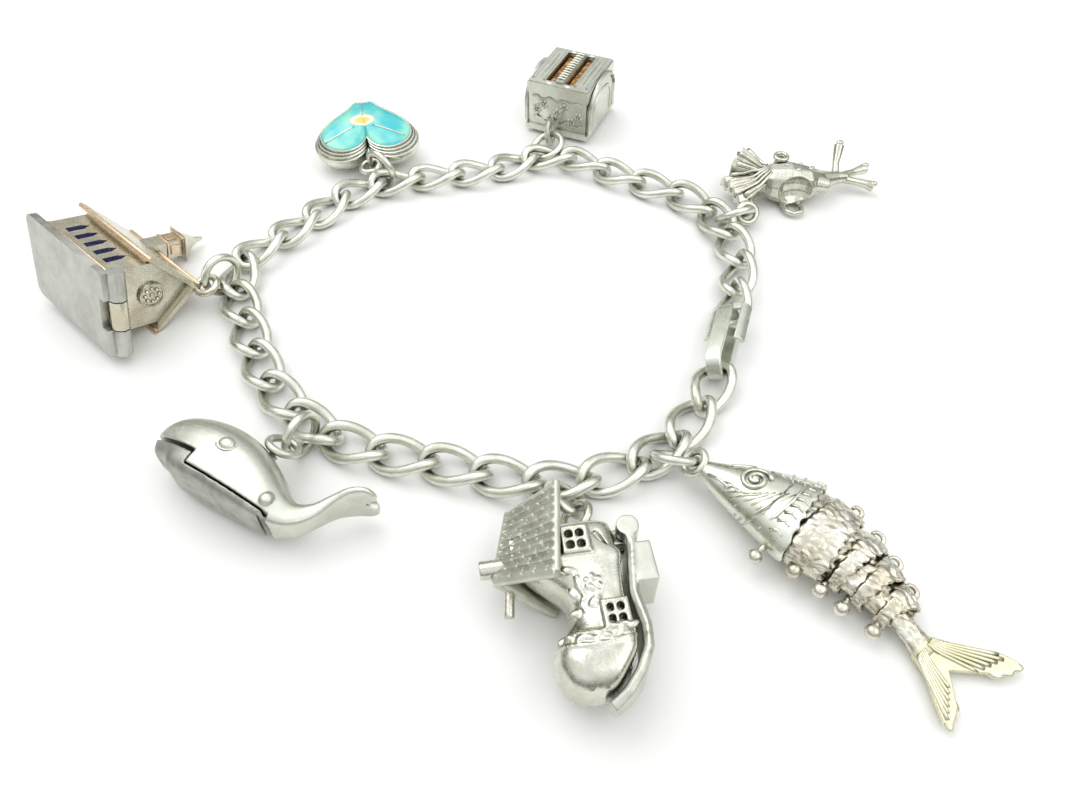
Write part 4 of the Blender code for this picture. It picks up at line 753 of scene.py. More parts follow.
# The shoe house
# An old boot cast as a house: shingled roof over the ankle, barred windows, vines, a chimney
# and a sole that swings open on a hinge at the heel.
SHOE = lay(16.0241, -39.0955, 98.7)
SHOE_SIDE = 4.3
# Rows: x, low edge, high edge, half thickness
SHOE_ROWS = [
    (-10.5, 4.8, 6.2, 1.0), (-10.0, 3.7, 7.4, 2.1), (-9.0, 2.7, 8.3, 2.9), (-7.4, 1.5, 8.8, 3.3),
    (-5.8, 1.2, 8.2, 3.2), (-4.5, 1.3, 7.0, 3.0), (-2.7, 1.5, 6.7, 2.9), (-1.2, 1.4, 7.3, 3.0),
    (0.4, 1.15, 9.0, 3.1), (1.6, 0.9, 10.2, 3.2), (2.7, 1.3, 10.6, 3.1), (4.45, 1.4, 10.5, 2.85),
    (5.2, 1.8, 9.8, 2.5), (5.8, 3.4, 8.4, 1.6),
]
SHOE_ROOM = [(-8.6, 0.4, 7.0, 1.8), (-7.0, -0.8, 7.7, 2.4), (-4.2, -1.6, 6.0, 2.1), (-1.0, -1.6, 6.3, 2.2),
             (1.8, -1.6, 9.0, 2.4), (3.6, -1.6, 9.2, 2.1)]
# Windows: x, y, half length, half width
SHOE_WINDOWS = [(3.1, 5.1, 1.1, 1.0), (-4.4, 2.85, 1.05, 0.9)]
WINDOW_BAR = 0.35
WINDOW_FRAME = 0.3
# A seam runs from the ankle window down to the sole
SHOE_SEAM = [(3.9, 3.2, 7.15), (2.4, 2.5, 7.0), (1.0, 1.9, 6.8), (-0.9, 1.25, 6.2)]
# Raised vines, leaves with their headings, and the middle of a flower
SHOE_VINES = [[(-0.4, 5.6), (-1.3, 5.6), (-2.2, 5.2), (-3.0, 5.6), (-3.8, 5.3)],
              [(-1.9, 3.9), (-2.6, 4.3), (-3.5, 4.6)]]
SHOE_LEAVES = [(-1.9, 6.0, 40), (-2.9, 4.4, -50), (0.2, 6.2, 80), (-3.6, 6.0, 90)]
SHOE_FLOWER = Vector((-1.2, 4.3))
PETAL_REACH = 0.55
# Curves across the toe: x, bulge, first y, run; a row of leaves, then the lines beside it
TOE_LEAVES = (-5.75, 0.55, 1.7, 6.0)
TOE_LINES = [(-5.3, 0.5, 1.4, 6.6), (-6.3, 0.6, 1.5, 6.8)]
TOE_STEPS = 8
# Roof corners: ridge ends, then eave ends on the upper side
ROOF_RIDGE = ((8.6, 10.5), (1.6, 12.6))
ROOF_EAVE = ((8.9, 5.8), (-0.4, 7.3))
ROOF_HALF = 4.15
ROOF_COURSES = 10
ROOF_SHINGLES = 5
SHINGLE_GAP = 0.014
SHINGLE_COVER = 0.86
SHINGLE_SHORTEST = 0.03
# Chimney, cross bar and heel knuckle: start, end, radius; then the stack and the knuckle's foot
SHOE_RODS = [((2.9, 11.6, 4.3), (2.9, 14.0, 4.3), 0.9), ((1.4, 11.4, 3.3), (-1.4, 11.8, 2.7), 0.5),
             ((4.3, -0.1, 3.5), (4.3, -0.1, 5.1), 1.1)]
SHOE_BLOCKS = [((1.8, 7.0, 2.6), (5.0, 11.0, 5.7)), ((3.3, -0.1, 3.5), (4.9, 2.4, 5.1))]
# Rivets on the toe
SHOE_RIVETS = [(-9.9, 4.7, 5.9), (-9.9, 6.0, 5.9)]
# Higher than any charm
DROP_HEIGHT = 20.0


def shoe_loft(rows):
    """A body of upright rings between low and high edges."""
    shape = bmesh.new()
    places = []
    for x, low, high, half in smooth_rows(rows, 5):
        places.append((Vector((x, (low + high) / 2, SHOE_SIDE)), Vector((0.0, (high - low) / 2, 0.0)),
                       UP * half))
    sweep(shape, places, soft_outline(44, 0.8, 0.36))
    return shape


def bent_block(shape, place):
    """A box whose corners go where place sends their shares of its three sides."""
    for corner in bmesh.ops.create_cube(shape, size=1.0)["verts"]:
        corner.co = place(corner.co.x + 0.5, corner.co.y + 0.5, corner.co.z + 0.5)


def roof_spot(side, along, down, out):
    """A point on one slope: shares along the ridge and down the slope, and millimetres out."""
    ridge = Vector((*ROOF_RIDGE[0], SHOE_SIDE)).lerp(Vector((*ROOF_RIDGE[1], SHOE_SIDE)), along)
    level = SHOE_SIDE + side * ROOF_HALF
    eave = Vector((*ROOF_EAVE[0], level)).lerp(Vector((*ROOF_EAVE[1], level)), along)
    normal = Vector((0.08, 0.62, side * 0.78))
    return ridge.lerp(eave, down) + normal * out


def shoe_roof():
    """Two slopes of staggered shingles on a thick board, with a flared eave."""
    shape = bmesh.new()
    for side in (-1, 1):
        bent_block(shape, lambda x, y, z: roof_spot(side, x, y, -0.45 + 0.8 * z))
        for course in range(ROOF_COURSES):
            shift = 0.5 * (course % 2)
            for number in range(ROOF_SHINGLES + 1):
                start = max((number - shift) / ROOF_SHINGLES, 0.0) + SHINGLE_GAP
                end = min((number + 1 - shift) / ROOF_SHINGLES, 1.0) - SHINGLE_GAP
                if end - start < SHINGLE_SHORTEST:
                    continue
                top = course / ROOF_COURSES
                low = (course + SHINGLE_COVER + random.uniform(-0.05, 0.05)) / ROOF_COURSES
                proud = random.uniform(0.46, 0.56)
                bent_block(shape, lambda x, y, z: roof_spot(
                    side, top + (low - top) * x, start + (end - start) * y,
                    0.1 + (proud - 0.3 + 0.3 * x) * z))
        eave = [roof_spot(side, along, 1.0, 0.1) for along in (0.0, 0.25, 0.5, 0.75, 1.0)]
        verge = [roof_spot(side, 1.0, down, 0.05) for down in (0.0, 0.35, 0.7, 1.0)]
        tube(shape, eave, 0.36, 10)
        tube(shape, verge, 0.48, 10)
    tube(shape, [roof_spot(1, 0.0, 0.0, 0.1), roof_spot(1, 1.0, 0.0, 0.1)], 0.4, 10)
    return cast(shape, 0.09, 1)


def drop(tree, x, y):
    """Where a surface is met from straight above, if it is."""
    return tree.ray_cast(Vector((x, y, DROP_HEIGHT)), -UP)[0]


def graft(shape, other):
    """Join another shape to a shape."""
    mesh = bpy.data.meshes.new("graft")
    other.to_mesh(mesh)
    other.free()
    shape.from_mesh(mesh)
    bpy.data.meshes.remove(mesh)


def shoe_top(tree, x, y):
    """The height of the shoe's upper face."""
    hit = drop(tree, x, y)
    return hit.z if hit else SHOE_SIDE


def lay_relief(shape, tree, points, radius, end_radius=None):
    """A raised line that lies along the surface."""
    tube(shape, [(x, y, shoe_top(tree, x, y)) for x, y in points], radius, 8, end_radius=end_radius)


def leaf(shape, tree, x, y, heading, length=0.75, width=0.4):
    """A small raised leaf on the surface."""
    pearl(shape, (x, y, shoe_top(tree, x, y)), (length, width, 0.22), 12, 8,
          Matrix.Rotation(math.radians(heading), 4, "Z"))


def toe_arc(x, bulge, low, run):
    """Points on a curve across the toe."""
    return [(x - bulge * math.sin(math.pi * k / TOE_STEPS), low + run * k / TOE_STEPS)
            for k in range(TOE_STEPS + 1)]


random.seed(11)
shoe = carve(shoe_loft(SHOE_ROWS), shoe_loft(SHOE_ROOM))
panes = bmesh.new()
for x, y, half_long, half_wide in SHOE_WINDOWS:
    for sx in (-1, 1):
        for sy in (-1, 1):
            middle = Vector((x + sx * half_long / 2, y + sy * half_wide / 2, 6.9))
            half = Vector((half_long / 2 - WINDOW_BAR / 2, half_wide / 2 - WINDOW_BAR / 2, 1.9))
            block(panes, middle - half, middle + half)
frames = bmesh.new()
for x, y, half_long, half_wide in SHOE_WINDOWS:
    reach = Vector((half_long + WINDOW_FRAME, half_wide + WINDOW_FRAME))
    block(frames, (x - reach.x, y - reach.y, 6.3), (x + reach.x, y + reach.y, 7.78))
kept_panes = panes.copy()
tube(panes, SHOE_SEAM, 0.3, 8)
shoe = carve(shoe, panes)
graft(shoe, carve(frames, kept_panes))
tree = BVHTree.FromBMesh(shoe)
for points in SHOE_VINES:
    lay_relief(shoe, tree, points, 0.22, 0.12)
for x, y, heading in SHOE_LEAVES:
    leaf(shoe, tree, x, y, heading)
for heading in range(0, 360, 60):
    angle = math.radians(heading)
    spot = SHOE_FLOWER + Vector((math.cos(angle), math.sin(angle))) * PETAL_REACH
    leaf(shoe, tree, spot.x, spot.y, heading, 0.34, 0.24)
for k, (x, y) in enumerate(toe_arc(*TOE_LEAVES)):
    leaf(shoe, tree, x, y, 60 if k % 2 else -60, 0.6, 0.32)
for arc in TOE_LINES:
    lay_relief(shoe, tree, toe_arc(*arc), 0.2)
for spot in SHOE_RIVETS:
    pearl(shoe, spot, (0.42,) * 3)
for start, end, radius in SHOE_RODS:
    rod(shoe, start, end, radius)
for low, high in SHOE_BLOCKS:
    block(shoe, low, high)
shoe = cast(shoe, 0.12, 3)
eyelet(shoe, (7.95, 3.97, 3.01), (0.28, 0.66, 0.70), radius=1.7)
rod(shoe, (4.9, 3.9, 3.3), (6.4, 3.9, 3.1), 0.8, 0.55)
# Cast silver, tumbled: bright on the rubbed curves, nearly black in its hollows with patina and painted
# shade
shoe_silver = silver_finish("cast_silver_tumbled", "#dcdcd1", "#c8c5b5", "#332f29", 0.22, 0.3, 0.02,
                            hollow=0.75)
finish_piece("shoe_casting", shoe, SHOE, shoe_silver, replaces=["shoe_body"], sharp=0)
# The roof's silver is duller, with dark lines of patina and painted shade between the shingles
roof_silver = silver_finish("cast_silver_shingle", "#d6d8cc", "#c8c7ba", "#5c574c", 0.45, 0.25, 0.02,
                            hollow=0.5)
finish_piece("shoe_roof", shoe_roof(), SHOE, roof_silver, sharp=0)
sole = cast(packed_shape("shoe_sole", SHOE), 0.12, 6)
finish_piece("shoe_sole_casting", sole, SHOE, worn_silver, body="shoe_sole", replaces=["shoe_sole"],
             sharp=0)


# The heart
# A puffed silver heart; its top is a flower in translucent blue enamel with a yellow middle,
# parted by fine silver wires.  Four stamped lines follow the rim round the lobes.
HEART_HEADING = 10.5
HEART = lay(-18.7851, 35.7311, HEART_HEADING, tip=9.0, lift=0.85)
HEART_WIDTH = 15.2
HEART_DEPTH = 13.6
HEART_THICKNESS = 5.2
HEART_STEPS = 96
# Near its point the outline is averaged over an arc: its half width, and how far it reaches
TIP_ARC = 0.95
TIP_REACH = 0.75
TIP_SAMPLES = 11
# Share of the outline and share of the thickness, from the foot to the rim of the enamel
HEART_SKINS = [(0.3, 0.02), (0.55, 0.05), (0.72, 0.1), (0.86, 0.19), (0.93, 0.28), (0.985, 0.4), (1.0, 0.5),
               (0.99, 0.6), (0.965, 0.66), (0.95, 0.7), (0.945, 0.715), (0.93, 0.71), (0.915, 0.75),
               (0.9, 0.79), (0.885, 0.785), (0.87, 0.82), (0.86, 0.85)]
HEART_ENAMEL = [(0.6, 0.78), (0.845, 0.82), (0.85, 0.86), (0.83, 0.885), (0.79, 0.905)]
# Stamped lines along the rim: share of the outline, share of the thickness, radius
HEART_LINES = [(0.985, 0.62, 0.17), (0.945, 0.71, 0.17), (0.905, 0.785, 0.15), (0.865, 0.855, 0.13)]
LINE_STEPS = 72
ENAMEL_DOME = 0.8
# The flower's eye, the headings of the wires that leave it, and their first and further steps
FLOWER_EYE = Vector((-0.2, -1.4))
VEIN_HEADINGS = (90.0, 205.0, 335.0)
VEIN_START, VEIN_STEP, VEIN_STEPS = 1.5, 0.6, 9


def heart_edge(turn, share):
    """A point on the heart's outline, shrunk toward its middle."""
    arc = TIP_ARC * math.exp(-((turn - math.pi) / TIP_REACH) ** 2)
    middle = (TIP_SAMPLES - 1) / 2
    wide = deep = 0.0
    for step in range(TIP_SAMPLES):
        angle = turn + arc * (step - middle) / middle
        wide -= math.sin(angle) ** 3 / 2 * HEART_WIDTH / TIP_SAMPLES
        deep -= (13 * math.cos(angle) - 5 * math.cos(2 * angle) - 2 * math.cos(3 * angle)
                 - math.cos(4 * angle) + 2.5) / 29 * HEART_DEPTH / TIP_SAMPLES
    return wide * share, deep * share


def heart_shell(skins, dome):
    """Rings of the heart's outline one on the other, closed with a dome over the last."""
    shape = bmesh.new()
    turns = [2 * math.pi * (k + 0.5) / HEART_STEPS for k in range(HEART_STEPS)]
    start = [shape.verts.new((*heart_edge(turn, skins[0][0]), skins[0][1] * HEART_THICKNESS))
             for turn in turns]
    edges = [shape.edges.new((start[k], start[(k + 1) % HEART_STEPS])) for k in range(HEART_STEPS)]
    bmesh.ops.contextual_create(shape, geom=edges)
    peak = skins[-1][1] * HEART_THICKNESS
    rows = [(share, level * HEART_THICKNESS) for share, level in skins[1:]]
    rows += [(skins[-1][0] * s, peak + dome * (1 - s * s)) for s in (0.9, 0.75, 0.6, 0.45, 0.3, 0.15)]
    for share, level in rows:
        corners, edges = grow(shape, edges)
        for corner, turn in zip(corners, turns):
            corner.co = (*heart_edge(turn, share), level)
    bmesh.ops.contextual_create(shape, geom=edges)
    return shape


def petal_enamel():
    """Blue glass that runs from bright cyan to pale green, with a yellow eye."""
    made, tree, shader = start_material("turquoise_glass_enamel")
    where = add(tree, "ShaderNodeMapping", {
        "Vector": in_millimetres(tree, HEART.translation.xy),
        "Rotation": (0.0, 0.0, math.radians(-HEART_HEADING))}, vector_type="POINT").outputs["Vector"]
    pool = clouds(tree, where, 0.28, 2.0, 0.45)
    blue = ramp(tree, pool, (0.4, "#36c3c9"), (0.62, "#8fe4cd"))
    # The oval eye of the flower, stretched along the heart
    eye = add(tree, "ShaderNodeMapping", {"Vector": where, "Location": (0.15, 1.4, 0.0),
                                          "Scale": (0.5, 0.85, 0.0)}).outputs["Vector"]
    reach = add(tree, "ShaderNodeVectorMath", {0: eye}, operation="LENGTH").outputs["Value"]
    ring = ramp(tree, reach, (0.0, "#eec04e"), (0.5, "#efc75c"), (0.56, "#f3e3b0"), (0.7, "#f3ecc8"),
                (0.86, "#f1ecd2"), (0.9, "#a98b58"), (0.96, "#bfe3d8"))
    inside = add(tree, "ShaderNodeMath", {0: reach, 1: 0.96}, operation="LESS_THAN").outputs[0]
    mix = add(tree, "ShaderNodeMix", {"Factor": inside, "A": blue, "B": ring}, data_type="RGBA")
    dress(tree, shader, mix.outputs["Result"], pool, 0.08)
    glaze(shader, 0.18)
    return made


def traced(tree, points):
    """The places where a flat line lies on a surface."""
    hits = [drop(tree, x, y) for x, y in points]
    return [hit for hit in hits if hit]


heart = heart_shell(HEART_SKINS, -0.1)
for share, level, radius in HEART_LINES:
    rim = [heart_edge(2 * math.pi * (k + 0.5) / LINE_STEPS, share) for k in range(LINE_STEPS)]
    tube(heart, [(x, y, level * HEART_THICKNESS) for x, y in rim], radius, 6, closed=True)
eyelet(heart, (0.0, -7.5, 2.6), (-0.17, 0.12, 0.98))
rod(heart, (0.0, -2.9, 2.6), (0.0, -6.4, 2.6), 0.9, 0.5)
finish_piece("heart_casting", heart, HEART, cast_wire_silver, replaces=["heart_body"], sharp=50)
petals = heart_shell(HEART_ENAMEL, ENAMEL_DOME)
tree = BVHTree.FromBMesh(petals)
finish_piece("heart_petals", petals, HEART, petal_enamel(),
             replaces=["heart_enamel"], sharp=0)
# The petals' dividing wires, from the flower's eye to the rim
wires = bmesh.new()
for heading in VEIN_HEADINGS:
    way = Vector((math.cos(math.radians(heading)), math.sin(math.radians(heading))))
    points = traced(tree, [FLOWER_EYE + way * (VEIN_START + VEIN_STEP * k) for k in range(VEIN_STEPS)])
    tube(wires, points, 0.13, 6)
finish_piece("heart_wires", wires, HEART, cast_wire_silver, sharp=0)


# The toaster
# A cast toaster with two slices in its slots, a ribbed bar between them, a relief of flowers
# on the case and a double-rimmed panel at each end.
TOASTER_PLACE = (12.1401, 44.0906, -23.9)
TOASTER = lay(*TOASTER_PLACE) @ Matrix.Diagonal((1.0, 1.0, 1.14, 1.0))
# Lines along the top, on each side of the middle: radius, sides, then x, y, z of each point
TOP_LINES = [(0.26, 8, [(2.45, -4.6, 7.4), (2.45, 4.6, 7.4)]),
             (0.3, 8, [(4.3, -4.5, 7.35), (4.3, 4.5, 7.35)]),
             (0.13, 6, [(3.4, -3.6, 7.42), (3.25, 0.0, 7.46), (3.4, 3.6, 7.42)])]
BAR_RIBS = 12
BAR_RUN = 7.8
# End panels: half an arched outline in shares of width and height, and the rims' size and radius
PANEL_HALF = [(0.46, 0.0), (0.46, 0.55), (0.41, 0.72), (0.32, 0.86), (0.18, 0.95)]
PANEL_ARCH = PANEL_HALF + [(0.0, 0.98)] + [(-y, z) for y, z in reversed(PANEL_HALF)]
PANEL_RIMS = [(1.0, 0.34), (0.74, 0.26)]
PANEL_OUT, PANEL_WIDTH, PANEL_FOOT, PANEL_HEIGHT = 5.2, 10.6, 1.3, 6.0
# Flowers on the long faces, between two wavy stems: height, wave, wave's pace
CASE_FACE = 5.26
FLOWERS, FLOWER_RUN, FLOWER_PETALS = 7, 6.8, 5
CASE_STEMS = [(2.4, 0.35, 1.6), (5.3, 0.25, 1.9)]
STEM_STEPS, STEM_RUN = 12, 8.0

toaster = bmesh.new()
# The bar between the slots and the rounded lips round them
block(toaster, (-0.62, -4.7, 7.2), (0.62, 4.7, 7.75))
for k in range(BAR_RIBS):
    y = (k / (BAR_RIBS - 1) - 0.5) * BAR_RUN
    tube(toaster, [(-0.55, y, 7.76), (0.0, y, 7.86), (0.55, y, 7.76)], 0.17, 6)
for side in (-1, 1):
    for radius, sides, points in TOP_LINES:
        tube(toaster, [(side * x, y, z) for x, y, z in points], radius, sides)
    for end in (-1, 1):
        pearl(toaster, (side * 1.5, end * 4.95, 7.0), (0.95, 0.55, 0.6), 14, 10)
    for share, radius in PANEL_RIMS:
        tube(toaster, [(side * PANEL_OUT, y * PANEL_WIDTH * share,
                        PANEL_FOOT + z * PANEL_HEIGHT * (0.06 + 0.94 * share)) for y, z in PANEL_ARCH],
             radius, 8)
for end in (-1, 1):
    face = end * CASE_FACE
    for k in range(FLOWERS):
        x = (k / (FLOWERS - 1) - 0.5) * FLOWER_RUN
        z = 3.5 + 1.1 * math.sin(k * 2.1)
        for petal in range(FLOWER_PETALS):
            angle = 2 * math.pi * petal / FLOWER_PETALS + k
            pearl(toaster, (x + 0.48 * math.cos(angle), face, z + 0.48 * math.sin(angle)),
                  (0.3, 0.24, 0.3), 8, 6)
        pearl(toaster, (x, face, z), (0.2, 0.36, 0.2), 8, 6)
    for level, wave, pace in CASE_STEMS:
        tube(toaster, [((k / STEM_STEPS - 0.5) * STEM_RUN, face, level + wave * math.sin(k * pace))
                       for k in range(STEM_STEPS + 1)], 0.2, 6)
# The case is plain cast silver, rubbed bright on its flats, with patina and painted shade in its hollows
case_silver = silver_finish("cast_silver_case", "#dcdfd4", "#cdcdc0", "#46423a", 0.34, 0.4, 0.006,
                            hollow=0.35)
finish_piece("toaster_relief", toaster, TOASTER, case_silver, sharp=40)
toaster = packed_shape("toaster_body", lay(*TOASTER_PLACE))
eyelet(toaster, (0.0, -8.05, 1.9), (0.97, 0.13, 0.19))
finish_piece("toaster_casting", toaster, TOASTER, case_silver, replaces=["toaster_body"], bevel=0.16,
             sharp=30)


def toast_finish():
    """Fired brown and yellow enamel, mottled like bread."""
    made, tree, shader = start_material("toast_enamel_fired")
    crumb = clouds(tree, in_millimetres(tree), 1.3, 5.0)
    brown = ramp(tree, crumb, (0.38, "#5c3816"), (0.5, "#94602a"), (0.62, "#cf9c3e"))
    dress(tree, shader, brown, crumb, 0.1)
    glaze(shader, 0.35, 0.3, 0.03)
    return made


bread = toast_finish()
for name, side in (("toast_left", -1), ("toast_right", 1)):
    slice_shape = blocks(((side * 1.55 - 0.6, -4.3, 4.05), (side * 1.55 + 0.6, 4.3, 7.0)))
    finish_piece(f"{name}_slice", slice_shape, TOASTER, bread, replaces=[name],
                 bevel=0.3, sharp=30)


# The figure
# A small cast figure with fanned skirts, a raised arm, two legs, and a wire handle at its side.
FIGURE = lay(32.8949, 21.752, 11.0, lift=-0.4037)
# Fluted fans: root, tip, half width at the tip, flutes
FIGURE_FANS = [(Vector((6.8, 1.7, 3.8)), Vector((3.6, 4.6, 4.9)), 2.4, 3),
               (Vector((6.8, 0.4, 3.6)), Vector((1.2, -0.2, 2.9)), 3.0, 5)]
FLUTE_STEPS = 6
# Beads laid on the body, then the hands and feet
FIGURE_BEADS = [(9.2, 0.2), (10.4, -1.0), (11.4, 0.6), (12.6, -0.3), (13.4, 0.6)]
FIGURE_ENDS = [(19.0, 4.4, 5.5), (22.8, 2.2, 2.7), (22.5, -1.6, 2.2)]

figure = cast(packed_shape("figure", FIGURE), 0.1, 5)
tree = BVHTree.FromBMesh(figure)
details = bmesh.new()
for root, tip, half, flutes in FIGURE_FANS:
    side = (tip - root).normalized().cross(UP).normalized() * half
    for k in range(flutes):
        share = -1 + 2 * k / (flutes - 1)
        start, end = root + side * 0.25 * share, tip + side * 0.92 * share
        line = traced(tree, [start.lerp(end, step / FLUTE_STEPS).xy for step in range(FLUTE_STEPS + 1)])
        if len(line) > 2:
            tube(details, line, 0.2, 8, end_radius=0.42)
for spot in traced(tree, FIGURE_BEADS):
    pearl(details, spot, (0.4, 0.3, 0.16), 10, 6)
ring = wire_hoop(details, 0.85, 0.6, steps=24, sides=10)
bmesh.ops.transform(details, matrix=Matrix.Translation((9.0, 2.1, 5.95)), verts=ring)
for spot in FIGURE_ENDS:
    pearl(details, spot, (0.55, 0.45, 0.35), 12, 8)
graft(figure, details)
eyelet(figure, (2.2, -4.7, 2.3), (0.01, -0.67, 0.75))
finish_piece("figure_casting", figure, FIGURE, shoe_silver, replaces=["figure"], sharp=0)


# The fish
# An articulated fish: an engraved head, four hammered segments that nest one in the next, and
# a tail of long-grooved sheet.  Beads hang on its lower edge and wire curls on its upper.
FISH = lay(24.9032, -25.4338, -47.8, lift=-0.1056)
FISH_HEAD_ROWS = [(-0.2, -0.9, 3.1, 0.9, 0.8), (2.0, -0.5, 3.1, 1.9, 1.5), (5.0, 0.2, 3.1, 3.1, 2.3),
                  (8.0, 0.9, 3.1, 4.2, 2.8), (11.0, 1.45, 3.1, 5.1, 3.1)]
FISH_RIMS = [(11.0, 1.45, 3.1, 5.1, 3.1), (15.4, 1.75, 2.75, 4.1, 2.7), (17.9, 1.5, 2.45, 3.5, 2.35),
             (20.4, 1.1, 2.1, 2.9, 2.0), (22.9, 0.55, 1.75, 2.2, 1.6)]
FISH_WALL = 0.45
SKIN_STEPS = 6
FISH_NECK_REACH = 1.2
FISH_NECK_GAP = 0.8
# Beads under the lower edge and curls on the upper: x, y, and the curl's size
BEAD_RADIUS = 0.75
FISH_BEADS = {"fish_head": (9.7, -4.6), "fish_segment_1": (13.2, -3.3), "fish_segment_2": (16.0, -3.0),
              "fish_segment_3": (18.4, -2.8), "fish_segment_4": (21.6, -2.4)}
FISH_CURLS = {"fish_segment_1": (13.6, 6.4, 0.5), "fish_segment_2": (16.6, 5.6, 0.6),
              "fish_segment_3": (19.2, 4.7, 0.6), "fish_segment_4": (21.8, 3.5, 0.6)}
CURL_STEPS = 14
SERRATIONS = 16
SERRATION_REACH, SERRATION_DEPTH = 1.4, 0.55
FISH_MIDDLE = 3.1
FISH_EYE = (5.0, 0.5)
EYE_STEPS = 34
# The gill's two lines, the mouth and the brow
FISH_LINES = [[(7.3, -2.6), (7.9, -1.2), (8.1, 0.6), (7.9, 2.4), (7.2, 4.0)],
              [(8.3, -3.0), (9.0, -1.4), (9.2, 0.6), (9.0, 2.8), (8.2, 4.6)],
              [(1.0, -1.6), (2.4, -1.5), (3.6, -1.7)],
              [(2.2, 0.7), (3.0, 1.6), (3.9, 2.4)]]
# Combs of strokes behind the gill, along the jaw and on the brow: strokes, radius, end radius,
# sides, and for each point of a stroke its place in the first and its step to the next
FISH_COMBS = [
    (9, 0.2, 0.1, 8, [(9.3, -2.6, 0.0, 0.95), (9.9, -2.3, 0.0, 0.95), (10.6, -2.5, 0.0, 0.95)]),
    (8, 0.14, 0.08, 6, [(2.6, -1.6, 0.6, -0.25), (3.5, -1.2, 0.62, -0.1), (4.6, -1.6, 0.55, 0.25),
                        (5.4, -1.2, 0.5, 0.4)]),
    (5, 0.14, 0.08, 6, [(5.4, 2.6, 0.7, 0.2), (6.2, 3.1, 0.7, 0.22), (7.0, 2.8, 0.6, 0.22)]),
]


def thinned(row, wall):
    """A row with its half sizes reduced."""
    return (*row[:3], max(row[3] - wall, 0.2), max(row[4] - wall, 0.2))


def fish_shell(rows, closed_front):
    """An outer skin along the rows and an inner one back, with a serrated open rim."""
    back = body_places([thinned(row, FISH_WALL) for row in rows], SKIN_STEPS)[::-1]
    if closed_front:
        back = back[:-SKIN_STEPS]
    shape = bmesh.new()
    sweep(shape, body_places(rows, SKIN_STEPS) + back, soft_outline(64, 1.0, 1.0),
          closed=not closed_front)
    rim_x, rim_y, rim_z = rows[-1][:3]
    for corner in shape.verts:
        near = 1.0 - min(abs(corner.co.x - rim_x) / SERRATION_REACH, 1.0)
        if near > 0.0:
            angle = math.atan2(corner.co.z - rim_z, corner.co.y - rim_y)
            corner.co.x -= near * SERRATION_DEPTH * abs(math.sin(angle * SERRATIONS / 2))
    return shape


def hammer(shape, depth, size, grain):
    """Hammered scales: raised cells with sunk borders, and a fine roughness over them."""
    shape.normal_update()
    moves = []
    for corner in shape.verts:
        spot = Vector((corner.co.x * 0.8, corner.co.y, corner.co.z)) / size
        reach = noise.voronoi(spot)[0]
        swell = min((reach[1] - reach[0]) * 1.6, 1.0)
        rough = noise.noise(corner.co * grain)
        moves.append(corner.normal * depth * (swell - 0.6 + 0.35 * rough))
    for corner, move in zip(shape.verts, moves):
        corner.co += move


def curl(shape, x, y, z, size):
    """A curl of wire that stands on a segment's edge."""
    points = []
    for k in range(CURL_STEPS + 1):
        angle = -math.pi / 2 + 2 * math.pi * 0.8 * k / CURL_STEPS
        rise = size * (math.sin(angle) + 1.0) * 0.9 - size
        points.append((x + size * math.cos(angle), y + rise, z + 0.05 * k))
    tube(shape, points, 0.3, 8, end_radius=0.2)


fish_head = cast(fish_shell(FISH_HEAD_ROWS, True), 0.13, 4)
tree = BVHTree.FromBMesh(fish_head)


def on_fish(x, y, lift=0.0):
    """A point on the head's upper face."""
    hit = drop(tree, x, y)
    return hit + UP * lift if hit else Vector((x, y, FISH_MIDDLE))


marks = bmesh.new()
# The spiral eye
spiral = []
for k in range(EYE_STEPS):
    angle = 0.6 + k * 0.36
    reach = 0.25 + 1.35 * (1 - k / (EYE_STEPS - 1))
    spiral.append(on_fish(FISH_EYE[0] + reach * math.cos(angle) * 0.95,
                          FISH_EYE[1] + reach * math.sin(angle), 0.08))
tube(marks, spiral, 0.26, 8)
pearl(marks, on_fish(*FISH_EYE, 0.08), (0.42, 0.42, 0.3), 12, 8)
for points in FISH_LINES:
    tube(marks, [on_fish(x, y) for x, y in points], 0.2, 8)
for count, radius, end_radius, sides, stroke in FISH_COMBS:
    for k in range(count):
        tube(marks, [on_fish(x + k * dx, y + k * dy) for x, y, dx, dy in stroke], radius, sides,
             end_radius=end_radius)
graft(fish_head, marks)
rod(fish_head, (0.8, -0.8, FISH_MIDDLE), (-0.5, -0.9, FISH_MIDDLE), 0.8, 0.55)
eyelet(fish_head, (-1.24, -0.9, FISH_MIDDLE), (0.46, 0.49, -0.74))
x, y = FISH_BEADS["fish_head"]
rod(fish_head, (x, y, 2.4), (x, y + 2.2, 3.0), 0.32)
pearl(fish_head, (x, y, 2.4), (BEAD_RADIUS,) * 3)
# Hammered silver: bright facets between sunk borders darkened with patina and painted shade
hammered = silver_finish("hammered_silver", "#e4e2d6", "#cbc4b0", "#3b352d", 0.24, 0.28, 0.03,
                         hollow=0.6)
finish_piece("fish_head_casting", fish_head, FISH, cast_wire_silver, replaces=["fish_head"], sharp=0)

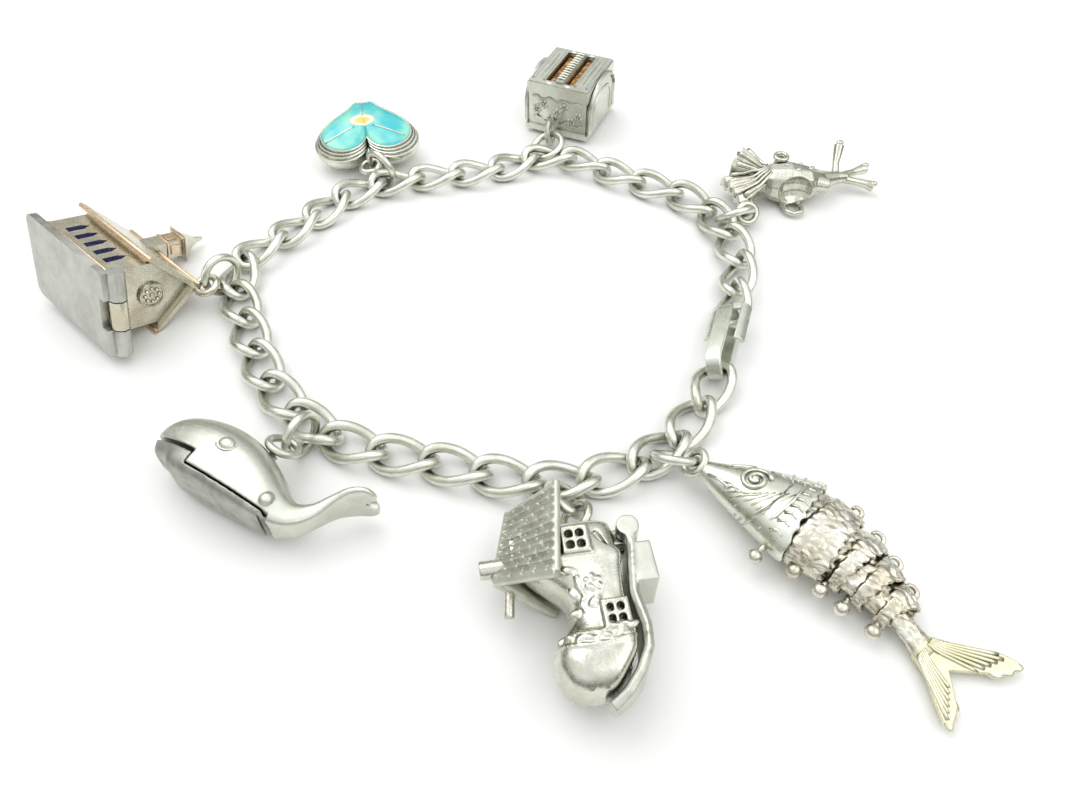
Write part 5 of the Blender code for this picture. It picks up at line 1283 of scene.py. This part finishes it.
for number in range(1, 5):
    name = f"fish_segment_{number}"
    before, rim = FISH_RIMS[number - 1], FISH_RIMS[number]
    neck = thinned((before[0] - FISH_NECK_REACH, *before[1:]), FISH_NECK_GAP)
    throat = thinned(before, FISH_NECK_GAP)
    waist = thinned((before[0] + 0.9, *before[1:]), 0.45)
    segment = fish_shell([neck, throat, waist, rim], False)
    segment = cast(segment, 0.12, 2)
    hammer(segment, 0.14, 0.85, 1.8)
    x, y = FISH_BEADS[name]
    rod(segment, (x, y, rim[2]), (x - 0.2, y + 1.6, rim[2]), 0.3)
    pearl(segment, (x, y, rim[2]), (BEAD_RADIUS,) * 3)
    x, y, size = FISH_CURLS[name]
    rod(segment, (x, y - 1.8, rim[2]), (x, y - size, rim[2]), 0.32, 0.28)
    curl(segment, x, y, rim[2], size)
    finish_piece(f"{name}_shell", segment, FISH, hammered, body=name, replaces=[name], sharp=0)

# The tail: its neck is wrapped silver, and the fan's grooves spread to scalloped lobes
TAIL_NECK_CUT = ((25.3, -9, -2), (40, 9, 9))
TAIL_FAN_CUT = ((10, -9, -2), (25.1, 9, 9))
# Lobes along the fan's edge: x, y, heading
TAIL_LOBES = [(30.5, -4.2, -40), (30.2, -3.3, -30), (29.9, -2.5, -15), (32.0, 4.6, 45), (31.6, 3.6, 35),
              (31.0, 2.7, 25)]
# Rays of each half of the fan: the outer ends' first and last, and the roots' middle
TAIL_RAYS = [(Vector((30.4, -4.2)), Vector((29.0, -1.6)), -0.7),
             (Vector((30.0, 1.6)), Vector((31.2, 5.0)), 0.7)]
RAY_COUNT, RAY_STEPS = 6, 7
neck = cast(carve(packed_shape("fish_tail", FISH), blocks(TAIL_NECK_CUT)), 0.11, 4)
hammer(neck, 0.12, 0.8, 1.8)
finish_piece("fish_tail_neck", neck, FISH, hammered, body="fish_tail", sharp=0)
tail = carve(packed_shape("fish_tail", FISH), blocks(TAIL_FAN_CUT))
for x, y, heading in TAIL_LOBES:
    pearl(tail, (x, y, 1.0), (0.85, 0.5, 0.3), 16, 10, Matrix.Rotation(math.radians(heading), 4, "Z"))
tail = cast(tail, 0.1, 3)
tree = BVHTree.FromBMesh(tail)
rays = bmesh.new()
for low, high, root in TAIL_RAYS:
    for k in range(RAY_COUNT):
        share = k / (RAY_COUNT - 1)
        start, end = Vector((25.6, (share - 0.5) * 0.8 + root)), low.lerp(high, share)
        line = traced(tree, [start.lerp(end, step / RAY_STEPS) for step in range(RAY_STEPS + 1)])
        if len(line) > 2:
            tube(rays, [point - UP * 0.04 for point in line], 0.2, 6, end_radius=0.24)
graft(tail, rays)
# Silver with a thin wash of gilt worn to pale yellow
gilt = silver_finish("pale_gilt_silver", "#e8e6d0", "#dedab6", "#5b5338", 0.3, 0.4, 0.02, hollow=0.5)
finish_piece("fish_tail_fan", tail, FISH, gilt, body="fish_tail", replaces=["fish_tail"], sharp=0)
